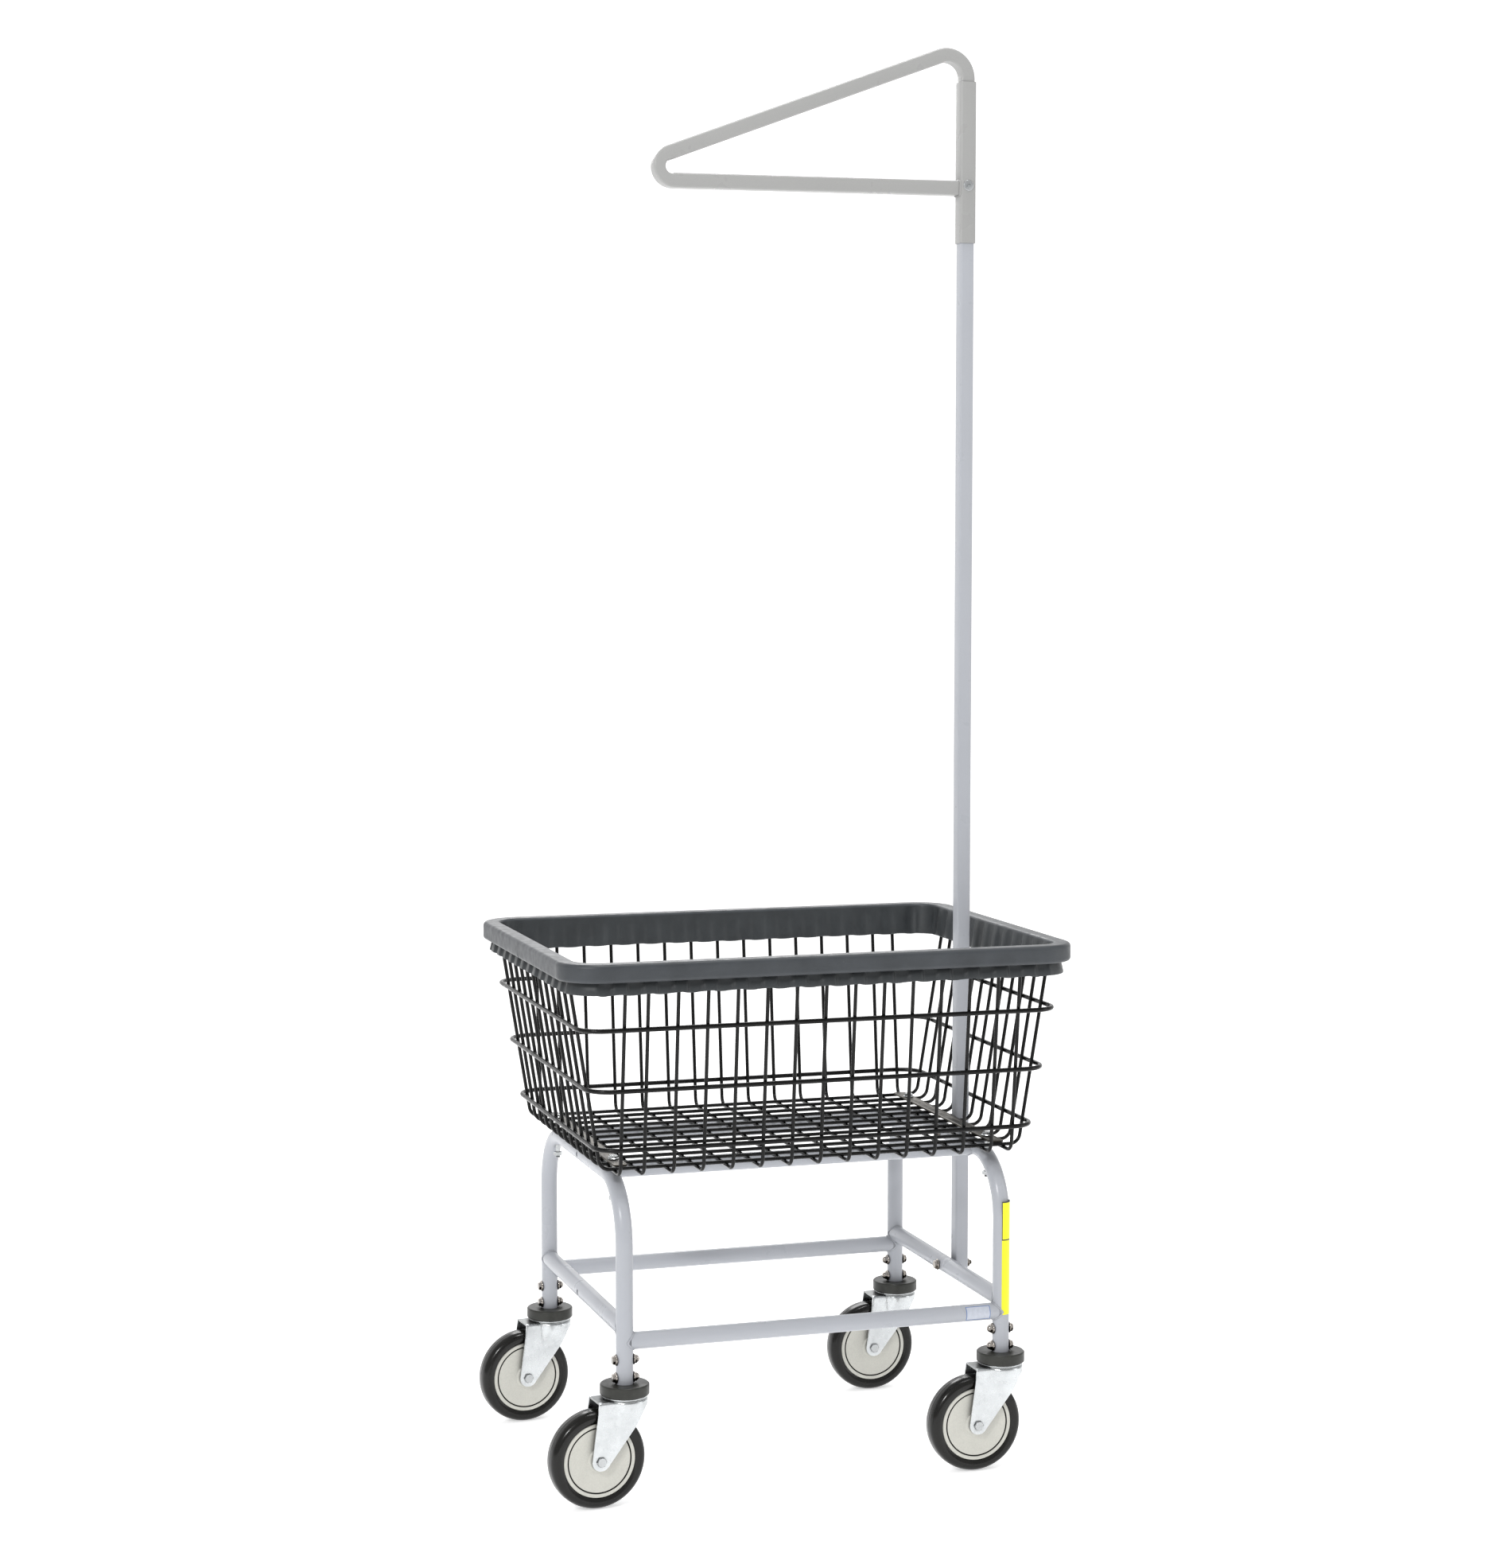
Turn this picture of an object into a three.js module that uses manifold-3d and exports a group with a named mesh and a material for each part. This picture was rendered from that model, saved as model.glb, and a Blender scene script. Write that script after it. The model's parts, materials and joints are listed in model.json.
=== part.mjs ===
// Laundry cart: a wire basket on a tubular frame with four swivel casters and a hanging pole.
// Millimetres. +X points to the pole end, +Y to the rear, +Z up, and the floor is z = 0.
import * as THREE from 'three';
import { mergeVertices } from 'three/addons/utils/BufferGeometryUtils.js';
import Module from 'manifold-3d';

const wasm = await Module();
wasm.setup();

// Driving dimensions
const GAP = 0.3;
const TUBE = { radius: 11.1, wall: 1.6, sides: 12, boreSides: 8 };
const LEG = { x: 258, y: 201, bottom: 144.6, top: 412.3, bend: 80 };
const TOP_RAIL_Y = 108;
const LOWER_RAIL_Z = 210;
const SIDE_RAIL_Z = 226;
const HOLE_RADIUS = 3.6;

const WIRE = 2.25;
const RING_WIRE = 2.75;
const CROSS_WIRE = { pitch: 39.3, count: 13, endX: 266 };
const LENGTH_WIRE = { pitch: 34.5, count: 12 };
const WIRE_BEND = 14;
const WELD_DEPTH = 0.3;
const SEAM_RISE = 15;
const CORNER_RADIUS = 36;
const RIM_WIRE_BEND = 34;
const WALL_BASE_Z = 463.7;
const WALL = { x: 292.6, y: 220.4, leanX: 0.16, leanY: 0.1 };
const WIRE_TOP = 694.5;
const RING_HEIGHTS = { lower: 460.5, middle: 537, upper: 615.5 };
const RIM = { x: 347, y: 260, radius: 54, top: 701.5 };

const STRAP = { halfLength: 187, width: 19, thickness: 2.5, boltY: 148, boltNutDrop: 25.5 };

const POLE = { side: 19, wall: 1.5, corner: 2.5, bottom: 212, top: 1770 };
const SLEEVE = { side: 22.4, corner: 3, bottom: 1628, top: 1843, screwZ: 1704.8 };
const ARM = {
  start: 1790,
  shoulderZ: 1890.6,
  shoulderRadius: 30,
  noseX: -237,
  noseZ: 1695.8,
  noseRadius: 18.3,
  endZ: 1701.5,
};

const SCREW = { head: 6, crown: 3.6, height: 3, edge: 1, shank: 2.5, hole: 2.9, length: 8 };

const TRAIL = 39;
const WHEEL = { radius: 63.5, halfWidth: 16, rim: 48, rimHalfWidth: 13.5, axleZ: 63.5 };
const TREAD = [[0, 7], [3.5, 12], [9, 16]];
const HUB = { radius: 13, foot: 14, halfWidth: 17.5 };
const FORK = {
  inside: 18,
  plate: 2.5,
  top: 138.8,
  front: 26,
  rear: 41,
  eye: 12.5,
  eyeStart: -36,
  race: 28.5,
  raceHeight: 0.8,
  skirt: 10,
  skirtBack: -17,
};
const FORK_WAIST = { x: 11, z: 106 };
const FORK_THROAT = { x: -25, z: 58 };
const KINGPIN = { radius: 6, rivet: 8.5, rivetHeight: 2 };
const STEM = { radius: 8.7, top: 200, flangeZ: 139.9 };
const BUMPER = { radius: 32.2, bottom: 142.4, top: 156.8, lowerChamfer: 1.5, upperChamfer: 2 };
const LEG_BOLT_HEIGHTS = { lower: 163.5, upper: 186.5 };

const BOLTS = {
  strap: { shank: 3, head: { radius: 6.5, height: 4 }, nut: { radius: 6.5, height: 5, dome: 2 } },
  pole: { shank: 3, head: { radius: 6.3, height: 4 }, nut: { radius: 6, height: 4, dome: 3 } },
  leg: { shank: 3, head: { radius: 6, height: 4 }, nut: { radius: 5.8, height: 4, dome: 3.5 } },
  axle: { shank: 4, head: { radius: 7, height: 4.5 }, nut: { radius: 7, height: 5, dome: 2 } },
};
// A nut's flat crown, as a share of its radius
const NUT_CROWN = 0.5;
const CASTERS = {
  front_left: { x: -1, y: -1, yaw: 5.5 },
  rear_left: { x: -1, y: 1, yaw: 6 },
  front_right: { x: 1, y: -1, yaw: 0.5 },
  rear_right: { x: 1, y: 1, yaw: 0.5 },
};

// How finely round shapes are faceted
const ARC_STEPS = 4;
const WIRE_ARC_STEPS = 2;
const HOLE_SIDES = 8;
const WHEEL_SEGMENTS = 20;
const RACE_SIDES = 16;
const WIRE_SIDES = 6;
const HEX_SIDES = 6;
const SCREW_SIDES = 10;
const STEM_SIDES = 12;
const BUMPER_SIDES = 18;
const SAME_POINT = 1e-4;
const UP = new THREE.Vector3(0, 0, 1);
const DOWN = new THREE.Vector3(0, 0, -1);
const RIGHT = new THREE.Vector3(1, 0, 0);
const REARWARD = new THREE.Vector3(0, 1, 0);

const poleX = LEG.x + TUBE.radius + GAP + POLE.side / 2;

// Materials
const paint = (color, roughness, metalness) => () =>
  new THREE.MeshStandardMaterial({ color, roughness, metalness });
const SILVER_PAINT = paint(0xc3c4cf, 0.35, 0.2);
const WARM_PAINT = paint(0xb5b5b8, 0.35, 0.2);
const BLACK_VINYL = paint(0x131315, 0.3, 0);
const RIM_PLASTIC = paint(0x50545a, 0.55, 0);
const BUMPER_RUBBER = paint(0x4a4d50, 0.6, 0);
const TYRE_RUBBER = paint(0x2b2b2d, 0.3, 0);
const CORE_PLASTIC = paint(0xc9c8c0, 0.5, 0);
const ZINC = paint(0xd6dadc, 0.25, 0.9);
const NICKEL = paint(0x8d8880, 0.3, 1);
const BARE_STEEL = paint(0x9a958b, 0.45, 0.9);

const cart = new THREE.Group();

function addPart(name, geometry, material, parent = cart) {
  const mesh = new THREE.Mesh(geometry, material());
  mesh.name = name;
  parent.add(mesh);
  return mesh;
}

// Solids: a closed geometry becomes a manifold for cutting and joining, and comes back
function toSolid(geometry) {
  const bare = geometry.clone();
  bare.deleteAttribute('normal');
  bare.deleteAttribute('uv');
  const merged = mergeVertices(bare, SAME_POINT);
  const mesh = new wasm.Mesh({
    numProp: 3,
    vertProperties: new Float32Array(merged.attributes.position.array),
    triVerts: new Uint32Array(merged.index.array),
  });
  return new wasm.Manifold(mesh);
}

function toGeometry(solid) {
  const mesh = solid.getMesh();
  const geometry = new THREE.BufferGeometry();
  geometry.setAttribute('position', new THREE.BufferAttribute(mesh.vertProperties, 3));
  geometry.setIndex(new THREE.BufferAttribute(mesh.triVerts, 1));
  geometry.computeVertexNormals();
  return geometry;
}

function join(geometries) {
  return toGeometry(geometries.map(toSolid).reduce((whole, next) => whole.add(next)));
}

function cut(geometry, tools) {
  return toGeometry(tools.map(toSolid).reduce((whole, next) => whole.subtract(next), toSolid(geometry)));
}

// Sections
function polygon(radius, sides, turn = 0) {
  const points = [];
  for (let i = 0; i < sides; i += 1) {
    const angle = turn + (2 * Math.PI * i) / sides;
    points.push(new THREE.Vector2(radius * Math.cos(angle), radius * Math.sin(angle)));
  }
  return points;
}

function roundTube({ radius, wall, sides, boreSides }) {
  const section = new THREE.Shape(polygon(radius, sides));
  section.holes.push(new THREE.Path(polygon(radius - wall, boreSides).reverse()));
  return section;
}

function squareTube(side, wall, cornerRadius) {
  const reach = side / 2 - cornerRadius;
  const points = [];
  for (const [sx, sy, from] of [[1, 1, 0], [-1, 1, 1], [-1, -1, 2], [1, -1, 3]]) {
    for (const share of [0, 0.5, 1]) {
      const angle = ((from + share) * Math.PI) / 2;
      const x = sx * reach + cornerRadius * Math.cos(angle);
      const y = sy * reach + cornerRadius * Math.sin(angle);
      points.push(new THREE.Vector2(x, y));
    }
  }
  const section = new THREE.Shape(points);
  const hollow = polygon((side / 2 - wall) * Math.SQRT2, 4, Math.PI / 4).reverse();
  section.holes.push(new THREE.Path(hollow));
  return section;
}

// Straight bar of any section from one point to another
function bar(section, from, to) {
  const span = new THREE.Vector3().subVectors(to, from);
  const geometry = new THREE.ExtrudeGeometry(section, { depth: span.length(), bevelEnabled: false });
  geometry.applyQuaternion(new THREE.Quaternion().setFromUnitVectors(UP, span.clone().normalize()));
  return geometry.translate(from.x, from.y, from.z);
}

function rod(radius, sides, from, to) {
  return bar(new THREE.Shape(polygon(radius, sides)), from, to);
}

function box(width, depth, height, x, y, z) {
  return new THREE.BoxGeometry(width, depth, height).translate(x, y, z);
}

// A path through corners, each rounded by its own bend radius, with a station at every arc step
class BentPath extends THREE.Curve {
  constructor(corners, radii, arcSteps = ARC_STEPS) {
    super();
    this.stations = [];
    const way = (i) => new THREE.Vector3().subVectors(corners[i + 1], corners[i]).normalize();
    this.stations.push({ point: corners[0].clone(), tangent: way(0) });
    for (let i = 1; i < corners.length - 1; i += 1) {
      this.addBend(corners[i], way(i - 1), way(i), radii[i - 1], arcSteps);
    }
    this.stations.push({ point: corners.at(-1).clone(), tangent: way(corners.length - 2) });
  }

  addBend(corner, arriving, leaving, radius, arcSteps) {
    const turn = arriving.angleTo(leaving);
    const inward = leaving.clone().addScaledVector(arriving, -Math.cos(turn)).normalize();
    const start = corner.clone().addScaledVector(arriving, -radius * Math.tan(turn / 2));
    for (let k = 0; k <= arcSteps; k += 1) {
      const angle = (turn * k) / arcSteps;
      const point = start.clone().addScaledVector(arriving, radius * Math.sin(angle));
      point.addScaledVector(inward, radius * (1 - Math.cos(angle)));
      const tangent = arriving.clone().multiplyScalar(Math.cos(angle));
      tangent.addScaledVector(inward, Math.sin(angle));
      this.stations.push({ point, tangent });
    }
  }

  get steps() {
    return this.stations.length - 1;
  }

  getPointAt(share, target = new THREE.Vector3()) {
    return target.copy(this.stations[Math.round(share * this.steps)].point);
  }

  getTangentAt(share, target = new THREE.Vector3()) {
    return target.copy(this.stations[Math.round(share * this.steps)].tangent);
  }
}

function bentBar(section, path) {
  return new THREE.ExtrudeGeometry(section, { steps: path.steps, extrudePath: path, bevelEnabled: false });
}

// A section of [outward, height] points carried round a level loop with rounded corners
function loopGeometry(section, halfX, halfY, cornerRadius) {
  const corners = [[1, 1], [-1, 1], [-1, -1], [1, -1]];
  const positions = [];
  corners.forEach(([sx, sy], quarter) => {
    for (let k = 0; k <= ARC_STEPS; k += 1) {
      const angle = ((quarter + k / ARC_STEPS) * Math.PI) / 2;
      for (const [outward, height] of section) {
        const reach = cornerRadius + outward;
        const x = sx * (halfX - cornerRadius) + reach * Math.cos(angle);
        const y = sy * (halfY - cornerRadius) + reach * Math.sin(angle);
        positions.push(x, y, height);
      }
    }
  });
  const around = section.length;
  const stations = positions.length / 3 / around;
  const index = [];
  for (let i = 0; i < stations; i += 1) {
    for (let j = 0; j < around; j += 1) {
      const a = i * around + j;
      const b = i * around + ((j + 1) % around);
      const c = ((i + 1) % stations) * around + ((j + 1) % around);
      const d = ((i + 1) % stations) * around + j;
      index.push(a, d, c, a, c, b);
    }
  }
  const geometry = new THREE.BufferGeometry();
  geometry.setAttribute('position', new THREE.Float32BufferAttribute(positions, 3));
  geometry.setIndex(index);
  geometry.computeVertexNormals();
  return geometry;
}

// A turned solid: [radius, height] points from the foot of the axis to its top, or a closed ring
function turned(profile, segments, turn = 0) {
  const points = profile.map(([radius, height]) => new THREE.Vector2(radius, height));
  return new THREE.LatheGeometry(points, segments, turn).rotateX(Math.PI / 2);
}

// Frame
const legCopes = [-1, 1].flatMap((sx) => [-1, 1].map((sy) => ({ x: sx * LEG.x, y: sy * LEG.y })));

// The radius of a cope whose flats stand clear of a frame tube
const copeRadius = (TUBE.radius + GAP) / Math.cos(Math.PI / TUBE.sides);

function legCope({ x, y }) {
  const margin = 4 * TUBE.radius;
  const foot = new THREE.Vector3(x, y, LOWER_RAIL_Z - margin);
  return rod(copeRadius, TUBE.sides, foot, new THREE.Vector3(x, y, SIDE_RAIL_Z + margin));
}

function crossHole(x, y, z) {
  const half = 2 * TUBE.radius;
  return rod(HOLE_RADIUS, HOLE_SIDES, new THREE.Vector3(x - half, y, z), new THREE.Vector3(x + half, y, z));
}

function endFrame(side) {
  const x = side * LEG.x;
  const corners = [
    new THREE.Vector3(x, -LEG.y, LEG.bottom),
    new THREE.Vector3(x, -LEG.y, LEG.top),
    new THREE.Vector3(x, LEG.y, LEG.top),
    new THREE.Vector3(x, LEG.y, LEG.bottom),
  ];
  const section = roundTube(TUBE);
  const tube = bentBar(section, new BentPath(corners, [LEG.bend, LEG.bend]));
  const holes = [crossHole(x, 0, LEG.top)];
  for (const end of [-1, 1]) {
    for (const height of Object.values(LEG_BOLT_HEIGHTS)) {
      holes.push(crossHole(x, end * LEG.y, height));
    }
    const y = end * STRAP.boltY;
    const below = new THREE.Vector3(x, y, LEG.top - 4 * TUBE.radius);
    const above = new THREE.Vector3(x, y, LEG.top + 2 * TUBE.radius);
    holes.push(rod(HOLE_RADIUS, HOLE_SIDES, below, above));
  }
  return cut(tube, holes);
}

function topRail(side) {
  const y = side * TOP_RAIL_Y;
  const from = new THREE.Vector3(-LEG.x, y, LEG.top);
  const rail = bar(roundTube(TUBE), from, new THREE.Vector3(LEG.x, y, LEG.top));
  const margin = 3 * TUBE.radius;
  const copes = [-LEG.x, LEG.x].map((x) => {
    const start = new THREE.Vector3(x, y - margin, LEG.top);
    return rod(copeRadius, TUBE.sides, start, new THREE.Vector3(x, y + margin, LEG.top));
  });
  return cut(rail, copes);
}

function lowerRail(side) {
  const y = side * LEG.y;
  const from = new THREE.Vector3(-LEG.x, y, LOWER_RAIL_Z);
  const to = new THREE.Vector3(LEG.x, y, LOWER_RAIL_Z);
  return cut(bar(roundTube(TUBE), from, to), legCopes.map(legCope));
}

function sideRail(side) {
  const x = side * LEG.x;
  const from = new THREE.Vector3(x, -LEG.y, SIDE_RAIL_Z);
  const to = new THREE.Vector3(x, LEG.y, SIDE_RAIL_Z);
  const rail = bar(roundTube(TUBE), from, to);
  return cut(rail, [...legCopes.map(legCope), crossHole(x, 0, SIDE_RAIL_Z)]);
}

function addFrame() {
  addPart('end_frame_left', endFrame(-1), SILVER_PAINT);
  addPart('end_frame_right', endFrame(1), SILVER_PAINT);
  addPart('top_rail_front', topRail(-1), SILVER_PAINT);
  addPart('top_rail_rear', topRail(1), SILVER_PAINT);
  addPart('lower_rail_front', lowerRail(-1), SILVER_PAINT);
  addPart('lower_rail_rear', lowerRail(1), SILVER_PAINT);
  addPart('lower_rail_left', sideRail(-1), SILVER_PAINT);
  addPart('lower_rail_right', sideRail(1), SILVER_PAINT);
}

// Basket. The walls lean out: wallX and wallY give the centre line of the wall wires at a height.
// The length wires lie on the cross wires and are welded to them.
const crossWireZ = LEG.top + TUBE.radius + GAP + WIRE;
const lengthWireZ = crossWireZ + 2 * WIRE * Math.cos(Math.PI / WIRE_SIDES) - WELD_DEPTH;
const seamZ = crossWireZ + SEAM_RISE;
const wallX = (z) => WALL.x + WALL.leanX * (z - WALL_BASE_Z);
const wallY = (z) => WALL.y + WALL.leanY * (z - WALL_BASE_Z);

// How far a rounded corner draws the wall in at a distance along it
function cornerInset(along, halfAlong) {
  const past = Math.max(0, Math.abs(along) - (halfAlong - CORNER_RADIUS));
  return CORNER_RADIUS - Math.sqrt(CORNER_RADIUS ** 2 - past ** 2);
}

function wireSection() {
  return new THREE.Shape(polygon(WIRE, WIRE_SIDES, Math.PI / WIRE_SIDES));
}

// How far from the middle plane the cross wire at x stands at a height
function crossWireReach(x, z) {
  const base = wallY(crossWireZ) - cornerInset(x, wallX(lengthWireZ));
  const top = wallY(WIRE_TOP) - cornerInset(x, wallX(WIRE_TOP));
  return THREE.MathUtils.mapLinear(z, crossWireZ, WIRE_TOP, base, top);
}

// The floor length of a cross wire turns up at both ends, as far as the seams
function floorWire(x) {
  const atSeam = crossWireReach(x, seamZ);
  const atFloor = crossWireReach(x, crossWireZ);
  const corners = [
    new THREE.Vector3(x, -atSeam, seamZ),
    new THREE.Vector3(x, -atFloor, crossWireZ),
    new THREE.Vector3(x, atFloor, crossWireZ),
    new THREE.Vector3(x, atSeam, seamZ),
  ];
  return bentBar(wireSection(), new BentPath(corners, [WIRE_BEND, WIRE_BEND], WIRE_ARC_STEPS));
}

// The length of a cross wire in the front or rear wall, from the seam to the rim wire
function wallWire(x, side) {
  const foot = seamZ + GAP;
  const from = new THREE.Vector3(x, side * crossWireReach(x, foot), foot);
  const to = new THREE.Vector3(x, side * crossWireReach(x, WIRE_TOP), WIRE_TOP);
  return bar(wireSection(), from, to);
}

function lengthWire(y) {
  const topX = wallX(WIRE_TOP) - cornerInset(y, wallY(WIRE_TOP));
  const baseX = wallX(lengthWireZ) - cornerInset(y, wallY(crossWireZ));
  const corners = [
    new THREE.Vector3(-topX, y, WIRE_TOP),
    new THREE.Vector3(-baseX, y, lengthWireZ),
    new THREE.Vector3(baseX, y, lengthWireZ),
    new THREE.Vector3(topX, y, WIRE_TOP),
  ];
  return bentBar(wireSection(), new BentPath(corners, [WIRE_BEND, WIRE_BEND], WIRE_ARC_STEPS));
}

function spread(pitch, count) {
  return Array.from({ length: count }, (_, i) => (i - (count - 1) / 2) * pitch);
}

// One side of the rim wire, from the middle of one corner to the middle of the next.
// place(along, out) turns a distance along the side and one out from the centre into a point.
function rimWire(halfAlong, reach, place) {
  const draw = CORNER_RADIUS * (1 - Math.SQRT1_2);
  const slit = (GAP / 2) * Math.SQRT1_2;
  const end = halfAlong - draw - slit;
  const endReach = reach - draw + slit;
  const corner = halfAlong - 2 * draw;
  const corners = [place(-end, endReach), place(-corner, reach), place(corner, reach), place(end, endReach)];
  const section = new THREE.Shape(polygon(RING_WIRE, WIRE_SIDES));
  return bentBar(section, new BentPath(corners, [RIM_WIRE_BEND, RIM_WIRE_BEND], WIRE_ARC_STEPS));
}

function longRimWire(side) {
  const place = (along, out) => new THREE.Vector3(along, side * out, WIRE_TOP);
  return rimWire(wallX(WIRE_TOP), wallY(WIRE_TOP), place);
}

function endRimWire(side) {
  const place = (along, out) => new THREE.Vector3(side * out, along, WIRE_TOP);
  return rimWire(wallY(WIRE_TOP), wallX(WIRE_TOP), place);
}

function ring(z) {
  const offset = WIRE + GAP + RING_WIRE;
  const section = polygon(RING_WIRE, WIRE_SIDES).map(({ x, y }) => [x, z + y]);
  return loopGeometry(section, wallX(z) + offset, wallY(z) + offset, CORNER_RADIUS + offset);
}

// The rim is a channel open below: an outer band, a skirt that flares out under it, and an inner
// flange that leans with the wall. Points run from the outer edge inward, as [inset, drop below the top].
function rimBumper() {
  const outline = [
    [2, 0], [0, 2.5], [0, 22], [2, 24], [12.4, 23.8], [9.2, 39.5], [11, 39.5], [14.3, 25], [14, 22],
    [3, 21], [3, 3.4], [21, 3.4], [27.2, 42], [29.4, 42], [24.4, 4], [22, 0],
  ];
  const section = outline.map(([inset, drop]) => [-inset, RIM.top - drop]).reverse();
  return loopGeometry(section, RIM.x, RIM.y, RIM.radius);
}

function addBasket() {
  const crossX = [...spread(CROSS_WIRE.pitch, CROSS_WIRE.count), -CROSS_WIRE.endX, CROSS_WIRE.endX];
  for (const [name, side] of [['front', -1], ['rear', 1]]) {
    const wall = [longRimWire(side), ...crossX.map((x) => wallWire(x, side))];
    addPart(`basket_${name}_wires`, join(wall), BLACK_VINYL);
  }
  const lengthWires = spread(LENGTH_WIRE.pitch, LENGTH_WIRE.count).map(lengthWire);
  const trough = [endRimWire(-1), endRimWire(1), ...lengthWires, ...crossX.map(floorWire)];
  addPart('basket_floor_and_end_wires', join(trough), BLACK_VINYL);
  for (const [name, z] of Object.entries(RING_HEIGHTS)) {
    addPart(`basket_ring_${name}`, ring(z), BLACK_VINYL);
  }
  addPart('rim_bumper', rimBumper(), RIM_PLASTIC);
}

// Hexagonal bolt along +Z with its nut: the head at z = 0 looks down, the shank is length long.
// The bolt and nut are one solid, because the nut is run up tight on its thread.
function bolt(length, { shank, head, nut }) {
  const profile = [
    [0, -head.height], [head.radius, -head.height], [head.radius, 0], [shank, 0], [shank, length],
    [nut.radius, length], [nut.radius, length + nut.height],
    [nut.radius * NUT_CROWN, length + nut.height + nut.dome], [0, length + nut.height + nut.dome],
  ];
  return turned(profile, HEX_SIDES);
}

function placeAlong(geometry, direction, start) {
  const turn = new THREE.Quaternion().setFromUnitVectors(UP, direction);
  return geometry.applyQuaternion(turn).translate(start.x, start.y, start.z);
}

// Hold-down straps, over the end frames on the basket floor
const strapBottom = lengthWireZ + WIRE + GAP;
const strapTop = strapBottom + STRAP.thickness;

function strap(side) {
  const x = side * LEG.x;
  const middle = strapBottom + STRAP.thickness / 2;
  const plate = box(STRAP.width, 2 * STRAP.halfLength, STRAP.thickness, x, 0, middle);
  const holes = [-1, 1].map((end) => {
    const below = new THREE.Vector3(x, end * STRAP.boltY, strapBottom - STRAP.thickness);
    const above = new THREE.Vector3(x, end * STRAP.boltY, strapTop + STRAP.thickness);
    return rod(HOLE_RADIUS, HOLE_SIDES, below, above);
  });
  return cut(plate, holes);
}

function strapBolt(side, end) {
  const headZ = strapTop + GAP;
  const nutZ = LEG.top - STRAP.boltNutDrop;
  const start = new THREE.Vector3(side * LEG.x, end * STRAP.boltY, headZ);
  return placeAlong(bolt(headZ - nutZ, BOLTS.strap), DOWN, start);
}

function addStraps() {
  for (const [name, side] of [['left', -1], ['right', 1]]) {
    addPart(`hold_down_strap_${name}`, strap(side), BARE_STEEL);
    addPart(`strap_bolt_${name}_front`, strapBolt(side, -1), NICKEL);
    addPart(`strap_bolt_${name}_rear`, strapBolt(side, 1), NICKEL);
  }
}

// Hanging pole
function screwHole() {
  const front = new THREE.Vector3(poleX, -SLEEVE.side, SLEEVE.screwZ);
  return rod(SCREW.hole, HOLE_SIDES, front, new THREE.Vector3(poleX, 0, SLEEVE.screwZ));
}

function pole() {
  const from = new THREE.Vector3(poleX, 0, POLE.bottom);
  const to = new THREE.Vector3(poleX, 0, POLE.top);
  const tube = bar(squareTube(POLE.side, POLE.wall, POLE.corner), from, to);
  const holes = [crossHole(poleX, 0, SIDE_RAIL_Z), crossHole(poleX, 0, LEG.top), screwHole()];
  return cut(tube, holes);
}

function sleeve() {
  const wall = (SLEEVE.side - POLE.side) / 2 - GAP;
  const from = new THREE.Vector3(poleX, 0, SLEEVE.bottom);
  const to = new THREE.Vector3(poleX, 0, SLEEVE.top);
  return cut(bar(squareTube(SLEEVE.side, wall, SLEEVE.corner), from, to), [screwHole()]);
}

function hangerArm() {
  const endX = poleX - SLEEVE.side / 2 - GAP;
  const corners = [
    new THREE.Vector3(poleX, 0, ARM.start),
    new THREE.Vector3(poleX, 0, ARM.shoulderZ),
    new THREE.Vector3(ARM.noseX, 0, ARM.noseZ),
    new THREE.Vector3(endX, 0, ARM.endZ),
  ];
  const path = new BentPath(corners, [ARM.shoulderRadius, ARM.noseRadius], 2 * ARC_STEPS);
  return bentBar(squareTube(POLE.side, POLE.wall, POLE.corner), path);
}

function sleeveScrew() {
  const profile = [
    [0, -SCREW.height], [SCREW.crown, -SCREW.height], [SCREW.head, -SCREW.edge], [SCREW.head, 0],
    [SCREW.shank, 0], [SCREW.shank, SCREW.length], [0, SCREW.length],
  ];
  const start = new THREE.Vector3(poleX, -SLEEVE.side / 2 - GAP, SLEEVE.screwZ);
  return placeAlong(turned(profile, SCREW_SIDES), REARWARD, start);
}

// Pole bolts run in X, through an end frame tube and the pole, with the nut outside
function poleBolt(z) {
  const start = new THREE.Vector3(LEG.x - TUBE.radius - GAP, 0, z);
  const length = 2 * TUBE.radius + POLE.side + 3 * GAP;
  return placeAlong(bolt(length, BOLTS.pole), RIGHT, start);
}

function addPole() {
  addPart('pole', pole(), SILVER_PAINT);
  addPart('hanger_sleeve', sleeve(), WARM_PAINT);
  addPart('hanger_arm', hangerArm(), WARM_PAINT);
  addPart('hanger_screw', sleeveScrew(), NICKEL);
  addPart('pole_bolt_lower', poleBolt(SIDE_RAIL_Z), NICKEL);
  addPart('pole_bolt_upper', poleBolt(LEG.top), NICKEL);
}

// Casters, drawn with the swivel axis on Z and the wheel trailing towards -X
function bumperDisc() {
  const { radius, bottom, top, lowerChamfer, upperChamfer } = BUMPER;
  const legRoom = TUBE.radius + GAP;
  const seat = LEG.bottom - GAP;
  const stemRoom = STEM.radius + GAP;
  const profile = [
    [stemRoom, bottom], [radius - lowerChamfer, bottom], [radius, bottom + lowerChamfer],
    [radius, top - upperChamfer], [radius - upperChamfer, top],
    [legRoom, top], [legRoom, seat], [stemRoom, seat], [stemRoom, bottom],
  ];
  return turned(profile, BUMPER_SIDES);
}

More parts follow.
